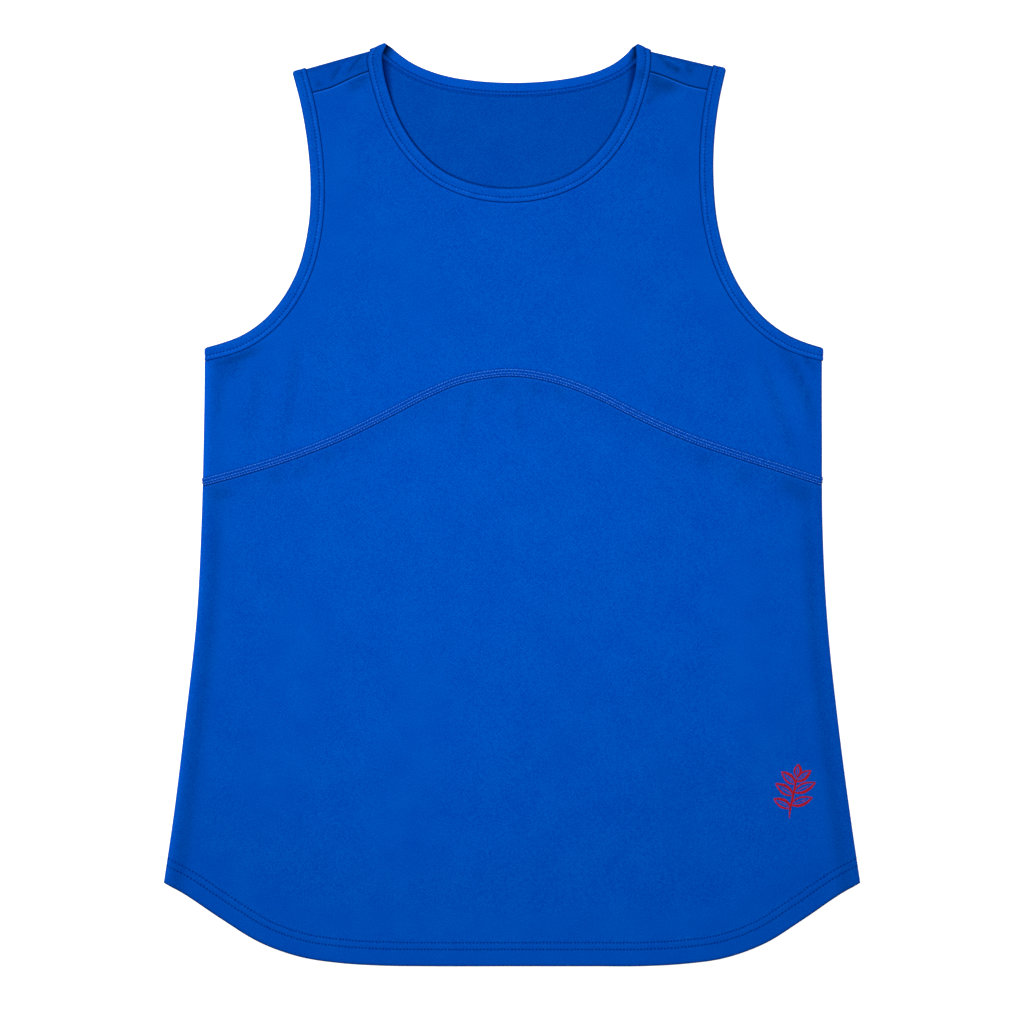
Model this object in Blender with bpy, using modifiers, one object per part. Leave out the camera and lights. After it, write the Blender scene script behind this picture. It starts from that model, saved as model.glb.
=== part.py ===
"""Sleeveless yoga tank top lying flat with its front up, sewn from six pieces of knitted cloth.

Every piece that is cut and sewn on is one closed solid: the back, which wraps over both
shoulders to a seam on the front; the front yoke; the front body below the curved seam; the neck
binding; and the two armhole bindings. The hems are turned up in one with their panels.

Frame: X to the right, Y towards the neck, Z up. The origin is on the surface that the garment
lies on, under the middle of its bounding box. Lengths are in metres.
"""

import bmesh
import bpy
import numpy as np

MM = 0.001
GARMENT = "yoga_tank_top"

# Cloth
WALL = 1.0 * MM  # one layer of a panel
EDGE_WALL = 1.7 * MM  # layers folded together, in a binding or a turned-up hem
GAP = 0.3 * MM  # between pieces at a seam, and between layers that lie on each other
BINDING_WIDTH = 10.0 * MM
HEM_DEPTH = 17.0 * MM
HEM_SLOPE = 3.0 * MM  # over which the hem thins to one layer
HEM_TURN = 0.75  # fraction of a half's width at which the hem's rows start to turn up the side
UNTURN = 12.0 * MM  # below the underarm, over which the side seam flattens to meet the binding
LAST_TURN = 0.6  # how far the side seam still turns at the foot of that stretch

# Height of the front layer's underside, over folded edges and where it lies on the back
EDGE_LEVEL = EDGE_WALL + GAP
MIDDLE_LEVEL = WALL + GAP
SETTLE = 35.0 * MM  # distance over which the front layer comes down from a folded edge
SPREAD = 2.0 * MM  # how far the front layer stays up beside a binding
SIDE_REACH = 3.0 * MM  # half the width of the folded cloth at a side seam
SHOULDER_REACH = 20.0 * MM  # how far down the flap the front stays up below a shoulder fold

# Outer radii of the cloth where it turns: side seams and shoulders. A binding's is its middle's.
SIDE_RADIUS = (EDGE_LEVEL + WALL - GAP) / 2
SHOULDER_RADIUS = (EDGE_LEVEL + WALL) / 2
BINDING_RADIUS = EDGE_LEVEL / 2
HALF_TURN = np.tan(np.pi / 8)  # length beside each corner of a turn made in two, per unit radius

# Each outline is a table for both halves of the garment. Its columns, in millimetres, are
# (distance out from the centre line, drift of both halves to the right,
#  height, how much higher the right half is than the mean).
HEM = (
    (0.0, 0.0, -336.8, 0.0),
    (60.0, 0.0, -336.8, 0.0),
    (96.0, 0.0, -336.3, -0.2),
    (125.0, 0.0, -334.9, -0.4),
    (154.4, 0.0, -330.5, -0.5),
    (183.6, 0.0, -320.2, -0.5),
    (212.8, 0.0, -302.2, -0.3),
    (242.0, 0.0, -282.8, -0.1),
    (254.2, 0.0, -275.7, 0.0),
)
SIDE = (
    (254.2, 0.0, -275.7, 0.0),
    (247.5, 0.0, -230.5, 0.0),
    (238.2, -0.3, -157.5, 0.0),
    (230.3, -0.1, -84.5, 0.0),
    (226.6, 0.0, -11.5, 0.0),
    (225.7, 0.6, 46.9, 0.0),
    (225.1, 1.2, 92.0, 0.0),
    (224.0, 1.4, 104.6, 0.0),
)
CURVED_SEAM = (
    (0.0, 0.0, 97.8, 0.0),
    (22.0, 0.0, 95.5, -0.35),
    (36.0, 0.0, 92.3, -0.65),
    (63.5, 0.0, 81.5, -0.4),
    (89.6, 0.0, 68.3, -0.15),
    (129.0, 0.0, 49.9, 0.55),
    (170.0, 0.0, 35.1, 1.2),
    (198.0, 0.0, 26.4, 1.1),
    (226.0, 0.3, 17.9, 0.3),
)
ARMHOLE = (
    (223.9, 1.4, 114.9, 0.0),
    (214.3, 1.7, 117.7, 0.0),
    (199.7, 2.4, 123.5, 0.0),
    (183.7, 2.4, 134.5, 0.0),
    (170.6, 2.2, 149.1, 0.0),
    (158.2, 1.7, 171.0, 0.0),
    (150.0, 1.0, 200.2, 0.0),
    (147.1, 0.0, 236.7, 0.0),
    (148.6, -1.0, 265.9, 0.0),
    (153.1, -1.8, 295.1, 0.0),
    (158.0, -2.0, 314.8, 1.2),
)
NECK_FRONT = (
    (0.0, -1.9, 230.7, 0.0),
    (28.7, -1.9, 234.8, 0.0),
    (49.8, -1.9, 244.3, 0.0),
    (67.0, -1.9, 260.0, 0.0),
    (79.7, -1.9, 279.4, 0.0),
    (88.0, -1.9, 300.9, 0.0),
    (92.3, -1.9, 320.0, 0.0),
    (92.3, -1.3, 333.9, -0.2),
)
NECK_BACK = (
    (0.0, 1.0, 308.0, 0.0),
    (31.5, 1.1, 309.9, 0.0),
    (45.9, 1.1, 312.2, 0.0),
    (61.0, 1.5, 316.4, 0.0),
    (75.2, 1.0, 323.2, 0.0),
    (84.6, 0.3, 330.3, 0.0),
    (92.3, -1.3, 333.9, -0.2),
)
# Where the seam edges of the bindings reach their folds, in the same columns
UNDERARM_SEAM = (223.9, 1.4, 104.9, 0.0)
SHOULDER_ARM_SEAM = (148.2, -1.9, 317.5, 1.05)
SHOULDER_NECK_SEAM = (102.3, -1.3, 330.4, -0.2)
# Heights at which the forward shoulder seam meets the bindings, and how far it sags between
FORWARD_SEAM_AT_ARM = (302.1, 1.3)
FORWARD_SEAM_AT_NECK = (317.1, -1.1)
FORWARD_SEAM_SAG = 1.1 * MM
# Height on the centre line that is level with the underarm in each panel's rows
YOKE_UNDERARM_ROW = 150.0 * MM
BACK_UNDERARM_ROW = 110.0 * MM

# Steps of the panels' rows and columns
COLUMNS = 10
SIDE_STEPS = 4  # up the yoke's side
BODY_STEPS = 12  # from the hem to the curved seam
BACK_STEPS = 12  # from the hem to the underarm
LOW_ARM_STEPS = 7  # round the armhole, beside the yoke's centre line
NECK_STEPS = 12  # round the front neck, and on round the armhole
FLAP_STEPS = 2  # from the forward seam to the shoulder fold
BACK_NECK_STEPS = 7
FOLD_STEPS = 4
SAMPLES = 400  # points on a curve when a place along it is looked up
SAME_POINT = 0.01 * MM  # distance within which points of two grids are one
SHARP_ANGLE = np.radians(40)  # above which an edge is shaded sharp

# Linear colours of the materials and their roughness
BLUE = (0.0, 0.072, 0.584, 1.0)
INSIDE_BLUE = (0.0, 0.058, 0.440, 1.0)
CLOTH_ROUGHNESS = 0.75


def hermite(knots, values, at):
    """Values at the places `at` of a smooth curve through one value at each knot."""
    slopes = np.gradient(values, knots, axis=0)
    first = np.clip(np.searchsorted(knots, at, side="right") - 1, 0, len(knots) - 2)
    span = (knots[first + 1] - knots[first])[:, None]
    t = (at - knots[first])[:, None] / span
    start = (1 + 2 * t) * (1 - t) ** 2 * values[first] + t * (1 - t) ** 2 * span * slopes[first]
    end = t**2 * (3 - 2 * t) * values[first + 1] - t**2 * (1 - t) * span * slopes[first + 1]
    return start + end


def plan(table, side):
    """Points in plan of one half of a table; side is 1 on the right and -1 on the left."""
    out, drift, height, tilt = (np.atleast_2d(table) * MM).T
    return np.column_stack((side * out + drift, height + side * tilt))


def run(points, fractions, before=None):
    """Points at fractions of the length of a smooth curve, which may come from a point before."""
    through = points if before is None else np.vstack((before, points))
    knots = np.append(0.0, np.cumsum(np.linalg.norm(np.diff(through, axis=0), axis=1)))
    knots -= knots[len(through) - len(points)]
    return hermite(knots / knots[-1], through, np.asarray(fractions, float))


def across_centre(table, side, fractions):
    """A curve that crosses the centre line smoothly, from there outwards."""
    return run(plan(table, side), fractions, before=plan(table[1], -side))


def left_normals(points):
    """Unit vectors to the left of a line of points."""
    along = np.gradient(points, axis=0)
    return np.column_stack((-along[:, 1], along[:, 0])) / np.linalg.norm(along, axis=1)[:, None]


def unit(vectors):
    """Vectors of length one."""
    return vectors / np.linalg.norm(vectors, axis=-1, keepdims=True)


def between(start, end, steps):
    """Points on a straight line."""
    return start + (end - start) * np.linspace(0, 1, steps + 1)[:, None]


def fraction_at_height(curve, height):
    """Fraction along a rising curve where it passes a height."""
    fractions = np.linspace(0, 1, SAMPLES)
    return np.interp(height, curve(fractions)[:, 1], fractions)


def side_line(side, heights):
    """Points of the side seam at heights, and the unit vectors out of the garment there."""
    table = plan(SIDE, side)
    x = hermite(table[:, 1], table[:, :1], heights)[:, 0]
    step = 1.0 * MM
    slope = (hermite(table[:, 1], table[:, :1], heights + step)[:, 0] - x) / step
    return np.column_stack((x, heights)), side * unit(np.column_stack((np.ones_like(x), -slope)))


def whole_side(side):
    """Points of a side seam from the hem to the underarm."""
    return side_line(side, np.linspace(SIDE[0][2], SIDE[-1][2], 20) * MM)[0]


def distance(points, line):
    """Distances in plan from points to a line of straight stretches."""
    along = np.diff(line, axis=0)
    reach = points[..., None, :2] - line[:-1]
    t = np.clip((reach * along).sum(-1) / (along**2).sum(-1), 0, 1)
    return np.linalg.norm(reach - t[..., None] * along, axis=-1).min(axis=-1)


def patch(inner, outer, bottom, top, columns):
    """Rows of points between four edges; the rows run from the inner edge to the outer one."""
    v = np.linspace(0, 1, len(inner))[:, None, None]
    u = columns[None, :, None]
    low = (1 - u) * inner[0] + u * outer[0]
    high = (1 - u) * inner[-1] + u * outer[-1]
    across = (1 - u) * inner[:, None] + u * outer[:, None]
    return across + (1 - v) * (bottom - low) + v * (top - high)


class Binding:
    """Edges in plan of a stretch of binding: free, sewn, and the panel's edge beside it."""

    def __init__(self, free, inward, seam_start, seam_end):
        self.free = free
        self.seam = free + inward * BINDING_WIDTH * left_normals(free)
        self.seam[0] = seam_start
        self.seam[-1] = seam_end
        self.to_panel = unit(self.seam - free)
        self.panel = self.seam + GAP * self.to_panel

    def middle(self):
        """The line along the middle of the binding."""
        return (self.free + self.seam) / 2


class Half:
    """The outlines of one half of the garment; side is 1 on the right and -1 on the left."""

    def __init__(self, side):
        self.side = side
        even = np.linspace(0, 1, COLUMNS + 1)
        self.columns = (even + (1 - np.cos(np.pi * even)) / 2) / 2
        self.out_at_hem = side_line(side, plan(SIDE[0], side)[:, 1])[1][0]
        self.armhole = self.armhole_binding()
        front = self.stations(self.neck_curve, FORWARD_SEAM_AT_NECK, NECK_STEPS)
        self.neck = self.neckline(NECK_FRONT, front)
        self.back_neck = self.neckline(NECK_BACK, np.linspace(0, 1, BACK_NECK_STEPS + 1))

    def neck_curve(self, fractions):
        """The free edge of the front neck."""
        return across_centre(NECK_FRONT, self.side, fractions)

    def armhole_curve(self, fractions):
        """The free edge of the armhole."""
        return run(plan(ARMHOLE, self.side), fractions)

    def stations(self, curve, height, steps):
        """Fractions along a binding, with one where the forward shoulder seam meets it."""
        level, tilt = np.array(height) * MM
        seam = fraction_at_height(curve, level + self.side * tilt)
        flap = np.linspace(seam, 1, FLAP_STEPS + 1)
        return np.append(np.linspace(0, seam, steps + 1), flap[1:])

    def armhole_binding(self):
        """The binding from the underarm to the shoulder fold."""
        steps = LOW_ARM_STEPS + NECK_STEPS
        free = self.armhole_curve(self.stations(self.armhole_curve, FORWARD_SEAM_AT_ARM, steps))
        underarm, shoulder = plan((UNDERARM_SEAM, SHOULDER_ARM_SEAM), self.side)
        return Binding(free, self.side, underarm, shoulder)

    def neckline(self, table, stations):
        """A stretch of neck binding from the centre line to the shoulder fold."""
        free = across_centre(table, self.side, stations)
        centre = free[0] - (0.0, BINDING_WIDTH)
        return Binding(free, -self.side, centre, plan(SHOULDER_NECK_SEAM, self.side)[0])

    def to_side(self, table, inset):
        """The columns' points on a line from the centre to a distance from the side's rim."""
        fractions = np.linspace(0, 1, SAMPLES)
        points = across_centre(table, self.side, fractions)
        from_rim = self.side * (points[:, 0] - side_line(self.side, points[:, 1])[0][:, 0])
        end = np.interp(-inset, from_rim, fractions)
        return across_centre(table, self.side, end * self.columns)

    def hem_rows(self, inset):
        """Rows of the turned-up hem, parallel to its edge and ending beside the side seam."""
        edge = self.to_side(HEM, inset)
        inward = self.side * left_normals(edge)
        inward[0] = (0.0, 1.0)
        up_side = self.side * np.array((-self.out_at_hem[1], self.out_at_hem[0]))
        turn = np.clip((self.columns - HEM_TURN) / (1 - HEM_TURN), 0, 1)[:, None]
        direction = unit((1 - turn) * inward + turn * up_side)
        direction /= (direction * inward).sum(axis=1, keepdims=True)
        depths = (0.0, HEM_DEPTH - HEM_SLOPE / 2, HEM_DEPTH + HEM_SLOPE / 2)
        return np.array([edge + depth * direction for depth in depths])

    def curved_seam(self, upward, inset):
        """The edge of the yoke (upward 1) or of the front body (upward -1) at the curved seam."""
        line = self.to_side(CURVED_SEAM, inset)
        normals = self.side * left_normals(line)
        normals[0] = (0.0, 1.0)
        return line + upward * GAP / 2 * normals

    def forward_seam(self, upward, inset):
        """The edge of the back's flap (upward 1) or of the yoke (upward -1), neck to armhole."""
        neck, rim = (edge.panel[-1 - FLAP_STEPS] for edge in (self.neck, self.armhole))
        armhole = rim + inset * self.armhole.to_panel[-1 - FLAP_STEPS]
        line = neck + (armhole - neck) * self.columns[:, None]
        line[:, 1] -= FORWARD_SEAM_SAG * 4 * self.columns * (1 - self.columns)
        shift = upward * GAP / 2 * self.side * left_normals(line)
        return line + shift, rim + shift[-1]

    def centre_edge(self, start, underarm_row, neck, steps):
        """The edge up the centre line, past the row of the underarm, and then round the neck."""
        end = neck.panel[0]
        level = start + (end - start) * (underarm_row - start[1]) / (end[1] - start[1])
        low, high = between(start, level, steps[0]), between(level, end, steps[1])
        return np.vstack((low, high[1:], neck.panel[1 : steps[2] + 1]))

    def side_edge(self, start, heights, inset):
        """The last flat column and the rim beside it, up the side seam from a flat point."""
        rim, out = side_line(self.side, heights)
        flat = rim - inset * out
        flat[0] = start
        return flat, flat + inset * out

    def outer_edge(self, start, side_steps, arm_steps, inset):
        """The last flat column and the rim, up the side seam and on round the armhole."""
        underarm = SIDE[-1][2] * MM
        heights = np.append(np.linspace(start[1], underarm - UNTURN, side_steps), underarm)
        flat, rim = self.side_edge(start, heights, inset)
        arm_flat = self.armhole.panel + inset * self.armhole.to_panel
        arm = slice(1, arm_steps + 1)
        return np.vstack((flat, arm_flat[arm])), np.vstack((rim, self.armhole.panel[arm]))

    def front_body(self, inset):
        """Rows of the front body, their rim, and how far each turns at the side."""
        hem, top = self.hem_rows(inset), self.curved_seam(-1, inset)
        heights = np.linspace(hem[-1, -1, 1], top[-1, 1], BODY_STEPS + 1)
        flat, rim = self.side_edge(hem[-1, -1], heights, inset)
        flat[-1] = top[-1]
        inner = between(hem[-1, 0], top[0], BODY_STEPS)
        rows = np.vstack((hem[:-1], patch(inner, flat, hem[-1], top, self.columns)))
        rim = np.vstack((hem[:-1, -1] + inset * self.out_at_hem, rim))
        return rows, rim, np.ones(len(rows))

    def front_yoke(self, inset):
        """Rows of the front yoke, their rim, and how far each turns at the side."""
        bottom = self.curved_seam(1, inset)
        top, top_rim = self.forward_seam(-1, inset)
        arm_steps = LOW_ARM_STEPS + NECK_STEPS
        steps = (SIDE_STEPS, LOW_ARM_STEPS, NECK_STEPS)
        inner = self.centre_edge(bottom[0], YOKE_UNDERARM_ROW, self.neck, steps)
        flat, rim = self.outer_edge(bottom[-1], SIDE_STEPS, arm_steps, inset)
        inner[-1], flat[-1], rim[-1] = top[0], top[-1], top_rim
        rows = patch(inner, flat, bottom, top, self.columns)
        return rows, rim, np.repeat((1.0, LAST_TURN, 0.0), (SIDE_STEPS - 1, 1, arm_steps + 1))

    def back(self, inset):
        """Rows of the back up to the shoulder fold, their rim, and how far each turns."""
        hem = self.hem_rows(inset)
        arm_steps = LOW_ARM_STEPS + NECK_STEPS + FLAP_STEPS
        steps = (BACK_STEPS, arm_steps - BACK_NECK_STEPS, BACK_NECK_STEPS)
        inner = self.centre_edge(hem[-1, 0], BACK_UNDERARM_ROW, self.back_neck, steps)
        flat, rim = self.outer_edge(hem[-1, -1], BACK_STEPS, arm_steps, inset)
        fold = inner[-1] + (flat[-1] - inner[-1]) * self.columns[:, None]
        rows = np.vstack((hem[:-1], patch(inner, flat, hem[-1], fold, self.columns)))
        rim = np.vstack((hem[:-1, -1] + inset * self.out_at_hem, rim))
        turned = len(rows) - arm_steps - 2
        return rows, rim, np.repeat((1.0, LAST_TURN, 0.0), (turned, 1, arm_steps + 1))

    def flap(self, fold, inset):
        """Rows of the back on the front, from the shoulder fold to the forward seam."""
        down = slice(None, -2 - FLAP_STEPS, -1)
        inner, rim = self.neck.panel[down].copy(), self.armhole.panel[down].copy()
        outer = rim + inset * self.armhole.to_panel[down]
        seam, seam_rim = self.forward_seam(1, inset)
        inner[-1], outer[-1], rim[-1] = seam[0], seam[-1], seam_rim
        return patch(inner, outer, fold, seam, self.columns)[1:], rim[1:], np.zeros(FLAP_STEPS)


HALVES = (Half(-1), Half(1))


def thick_lines():
    """Lines under which cloth is folded or turned, each with half the width of that cloth."""
    binding = BINDING_WIDTH / 2 + SPREAD
    for half in HALVES:
        yield half.hem_rows(0.0)[0] + (0.0, HEM_DEPTH / 2), HEM_DEPTH / 2 + HEM_SLOPE
        yield whole_side(half.side), SIDE_REACH
        yield half.armhole.middle(), binding
        yield half.back_neck.middle(), binding
        yield np.array((half.neck.free[-1], half.armhole.free[-1])), SHOULDER_REACH


THICK_LINES = tuple(thick_lines())


def front_level(points):
    """Height of the front layer's underside, from the distance to the nearest folded cloth."""
    near = np.min([distance(points, line) - reach for line, reach in THICK_LINES], axis=0)
    down = np.clip(near / SETTLE, 0, 1)
    return EDGE_LEVEL - (EDGE_LEVEL - MIDDLE_LEVEL) * down**2 * (3 - 2 * down)


def back_level(points):
    """Height of the back's outer face on the surface that it lies on."""
    return np.zeros(points.shape[:-1])


def turn_inset(radius):
    """Distance from a panel's rim at which a face of its cloth starts to turn."""
    return SIDE_RADIUS - radius * HALF_TURN


def sheet(rows, rim, turns, radius, rise, level):
    """Rows in space, with two columns that turn through a right angle at the side seam.

    Args:
        rows: points in plan out to the last flat column.
        rim: the outermost point of each row in plan.
        turns: 1 for a row that turns at its side and 0 for one that stays flat.
        radius: of this face of the cloth where it turns.
        rise: 1 if it turns up and -1 if it turns down.
        level: function giving the height of points in plan.
    """
    turns = turns[:, None]
    width = radius * (1 - HALF_TURN)
    reach = turns * width / turn_inset(radius) + (1 - turns) * np.array((0.5, 1.0))
    last = rows[:, -1:]
    rows = np.concatenate((rows, last + (rim[:, None] - last) * reach[..., None]), axis=1)
    heights = level(rows)
    heights[:, -2:] += rise * turns * np.array((width, radius))
    return np.dstack((rows, heights))


def fold_arc(edge, out, radius, middle, steps):
    """Rows that carry an edge over half a turn, from below a middle height to above it."""
    for angle in np.linspace(0, np.pi, steps + 1)[1:-1]:
        row = edge.copy()
        row[:, :2] += radius * np.sin(angle) * out
        row[:, 2] = middle - radius * np.cos(angle)
        yield row


def fold_out(edge, side):
    """Unit vector in plan out of the garment, square to a fold that runs outwards."""
    along = edge[-1, :2] - edge[0, :2]
    return side * unit(np.array((-along[1], along[0])))


def back_sheet(half):
    """The back's outer face: flat below, over the shoulder fold, and down its flap on the front."""
    inset = turn_inset(SIDE_RADIUS)
    below = sheet(*half.back(inset), SIDE_RADIUS, 1, back_level)
    flap_rows, rim, turns = half.flap(below[-1, : COLUMNS + 1, :2], inset)
    above = sheet(flap_rows, rim, turns, SIDE_RADIUS, 0, back_level)
    above[..., 2] = 2 * SHOULDER_RADIUS
    top = below[-1].copy()
    arc = fold_arc(top, fold_out(top, half.side), SHOULDER_RADIUS, SHOULDER_RADIUS, FOLD_STEPS)
    top_row = below[-1] + (0.0, 0.0, 2 * SHOULDER_RADIUS)
    return np.vstack((below, list(arc), top_row[None], above))


def grid_faces(rows, columns, closed, start=0):
    """Quads between the points of a grid, anticlockwise seen with rows up and columns right."""
    last = rows if closed else rows - 1
    for row in range(last):
        above = (row + 1) % rows
        for column in range(columns - 1):
            low, high = start + row * columns + column, start + above * columns + column
            yield (low, low + 1, high + 1, high)


def material(name, colour):
    """A plain cloth material."""
    made = bpy.data.materials.new(name)
    made.use_nodes = True
    shader = made.node_tree.nodes["Principled BSDF"]
    shader.inputs["Base Color"].default_value = colour
    shader.inputs["Roughness"].default_value = CLOTH_ROUGHNESS
    shader.inputs["Metallic"].default_value = 0.0
    return made


def add_cloth(collection, name, grids, flips, closed, offset, colour):
    """Add a piece of cloth made from grids of points that share the points where they meet.

    Args:
        grids: arrays of points in space, rows by columns.
        flips: for each grid, whether its quads are turned over to face out of the cloth.
        closed: whether each grid's last row joins its first.
        offset: where the points lie in the wall: 1 on its inside, 0 midway, -1 on its outside.
    """
    points, faces = [], []
    for grid, flip in zip(grids, flips):
        quads = grid_faces(*grid.shape[:2], closed, start=len(points))
        faces.extend(quad[::-1] if flip else quad for quad in quads)
        points.extend(grid.reshape(-1, 3).tolist())
    mesh = bpy.data.meshes.new(name)
    mesh.from_pydata(points, [], faces)
    shape = bmesh.new()
    shape.from_mesh(mesh)
    bmesh.ops.remove_doubles(shape, verts=shape.verts, dist=SAME_POINT)
    shape.to_mesh(mesh)
    shape.free()
    piece = bpy.data.objects.new(name, mesh)
    collection.objects.link(piece)
    mesh.materials.append(material(name, colour))
    mesh.shade_smooth()
    mesh.set_sharp_from_angle(angle=SHARP_ANGLE)
    wall = piece.modifiers.new("wall", "SOLIDIFY")
    wall.thickness = EDGE_WALL
    wall.offset = offset
    wall.use_even_offset = True
    return piece


def thin_panel(piece):
    """Thin a panel's wall to one layer everywhere but in its turned-up hem."""
    group = piece.vertex_groups.new(name="wall")
    points = np.array([vertex.co for vertex in piece.data.vertices])
    hem = np.min([distance(points, half.hem_rows(0.0)[0]) for half in HALVES], axis=0) < HEM_DEPTH
    from_side = np.min([distance(points, whole_side(half.side)) for half in HALVES], axis=0)
    inside = from_side > 2 * SIDE_RADIUS
    for index, thick in enumerate(hem & inside):
        group.add([index], 1.0 if thick else WALL / EDGE_WALL, "REPLACE")
    piece.modifiers["wall"].vertex_group = group.name


def ring(parts, folds):
    """Points of a closed binding: stretches of it, each followed by the arc of its fold."""
    rows = []
    for stretch, arc in zip(parts, folds):
        rows.extend(stretch)
        rows.extend(arc)
    return np.array(rows)


def stretch(binding, level):
    """Rows across a binding, free edge then seam edge, at the height of the wall's middle."""
    edges = np.stack((binding.free, binding.seam), axis=1)
    return np.dstack((edges, level(edges) + EDGE_WALL / 2))


def binding_fold(row, side, down):
    """Rows of a binding's fold beside its last row, going down to the back or up to the front."""
    out = fold_out(row, side)
    rows = list(fold_arc(row, out, BINDING_RADIUS, EDGE_LEVEL / 2 + EDGE_WALL / 2, FOLD_STEPS))
    return rows[::-1] if down else rows


def neck_ring():
    """The neck binding: over the front from left to right, and back behind the neck."""
    left, right = HALVES
    front_left, front_right = (stretch(half.neck, front_level) for half in HALVES)
    back_left, back_right = (stretch(half.back_neck, back_level) for half in HALVES)
    front = np.vstack((front_left[:0:-1], front_right))
    back = np.vstack((back_right[:0:-1], back_left))
    folds = (
        binding_fold(front[-1], right.side, down=True),
        binding_fold(back[-1], left.side, down=False),
    )
    return ring((front, back), folds)


def armhole_ring(half):
    """An armhole binding: over the front from the underarm to the shoulder, and back behind."""
    front, back = (stretch(half.armhole, level) for level in (front_level, back_level))
    folds = (
        binding_fold(front[-1][::-1], half.side, down=True),
        binding_fold(back[0], half.side, down=False),
    )
    folds = ([row[::-1] for row in folds[0]], folds[1])
    return ring((front, back[::-1]), folds)


def main():
    """Build the garment's six pieces."""
    for old in list(bpy.data.objects):
        bpy.data.objects.remove(old, do_unlink=True)
    collection = bpy.data.collections.new(GARMENT)
    bpy.context.scene.collection.children.link(collection)

    back = [back_sheet(half) for half in HALVES]
    thin_panel(add_cloth(collection, "back", back, (False, True), False, -1, INSIDE_BLUE))
    inner_radius = SIDE_RADIUS - WALL
    for name in ("front_yoke", "front_body"):
        plans = [getattr(half, name)(turn_inset(inner_radius)) for half in HALVES]
        grids = [sheet(*rows, inner_radius, -1, front_level) for rows in plans]
        thin_panel(add_cloth(collection, name, grids, (True, False), False, 1, BLUE))
    add_cloth(collection, "neck_binding", [neck_ring()], (False,), True, 0, BLUE)
    for name, half, flip in zip(("left", "right"), HALVES, (True, False)):
        name = f"armhole_binding_{name}"
        add_cloth(collection, name, [armhole_ring(half)], (flip,), True, 0, BLUE)


if __name__ == "__main__":
    main()
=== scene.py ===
"""Sleeveless yoga tank top, sewn from pieces of knitted cloth and laid flat with its front up.

Every panel and binding is a thin closed shell of cloth with rounded edges, worked out from the lines of
the garment's own pattern. The sewing lies on it as thread: a twin-needle hem, a topstitched binding
round the neck and each armhole, and a flatlock band over the curved seam.

Lengths are in metres. X is to the right, Y towards the neck and Z up.
"""

import logging
from collections.abc import Callable
from dataclasses import dataclass, field
from enum import Enum

import bpy
import numpy as np
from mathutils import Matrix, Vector


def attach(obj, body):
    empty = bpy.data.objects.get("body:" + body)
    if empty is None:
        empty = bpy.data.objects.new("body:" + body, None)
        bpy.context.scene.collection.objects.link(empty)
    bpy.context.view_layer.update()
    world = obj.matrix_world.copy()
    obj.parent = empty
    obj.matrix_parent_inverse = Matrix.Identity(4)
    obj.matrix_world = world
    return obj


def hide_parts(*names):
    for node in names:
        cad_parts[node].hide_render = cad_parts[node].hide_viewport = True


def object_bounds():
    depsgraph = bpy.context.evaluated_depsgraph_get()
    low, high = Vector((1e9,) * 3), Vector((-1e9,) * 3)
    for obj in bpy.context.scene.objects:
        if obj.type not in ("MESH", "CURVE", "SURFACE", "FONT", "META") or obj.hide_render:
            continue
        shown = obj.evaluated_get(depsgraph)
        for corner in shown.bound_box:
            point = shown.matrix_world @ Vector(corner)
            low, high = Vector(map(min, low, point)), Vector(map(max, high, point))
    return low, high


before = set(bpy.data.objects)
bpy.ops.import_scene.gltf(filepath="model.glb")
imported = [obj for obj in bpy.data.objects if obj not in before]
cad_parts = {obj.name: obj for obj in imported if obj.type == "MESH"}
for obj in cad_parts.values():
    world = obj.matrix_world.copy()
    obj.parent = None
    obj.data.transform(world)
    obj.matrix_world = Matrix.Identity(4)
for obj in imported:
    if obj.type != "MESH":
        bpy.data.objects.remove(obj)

CAD_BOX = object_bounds()
LOG = logging.getLogger("yoga_tank_top")
Array = np.ndarray
Socket = bpy.types.NodeSocket
MM = 0.001

WALL = 1.0 * MM  # one layer of a panel
FOLDED = 1.7 * MM  # layers folded together in a binding
HEM_THICK = 1.5 * MM  # two layers of cloth in a turned-up hem
SEAM_GAP = 0.05 * MM  # between the edges of two pieces that are sewn together
SEAM_TUCK = 0.45 * MM  # how far a panel's edge reaches into a binding
BINDING_WIDTH = 10.45 * MM
STITCH = 2.55 * MM  # length of one stitch of the topstitching
COVER_STITCH = 2.15 * MM  # and of the flatlock seam
THREAD = 0.16 * MM  # radius of a sewing thread
SIDE_RADIUS = 1.35 * MM  # of the outer face where a panel turns down at its side seam
SIDE_MIDDLE = SIDE_RADIUS - WALL / 2
BINDING_RADIUS = 1.0 * MM  # of the middle of a binding where it goes over an edge
CORNER = 0.8 * MM  # by which a fold's free corner is drawn in, so that it is round
HIGH = 2.0 * MM  # underside of the front over folded cloth
LOW = 1.7 * MM  # and where it lies on one layer
SETTLE = 35.0 * MM  # distance over which it comes down from one to the other
EDGE_STEPS = np.array((0.07, 0.22, 0.45, 1.0)) * MM  # narrow steps that round a cut edge
DENSE = np.linspace(0, 1, 800)  # fractions of a line at which a crossing is looked up
PLATEAU = 0.1  # part of a mask's reach over which it keeps its full depth


class Side(Enum):
    """Half of the garment, as seen from above."""

    LEFT = -1
    RIGHT = 1


class Layer(Enum):
    """Layer of cloth, valued by the way that its outer face looks."""

    BACK = -1
    FRONT = 1


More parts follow.
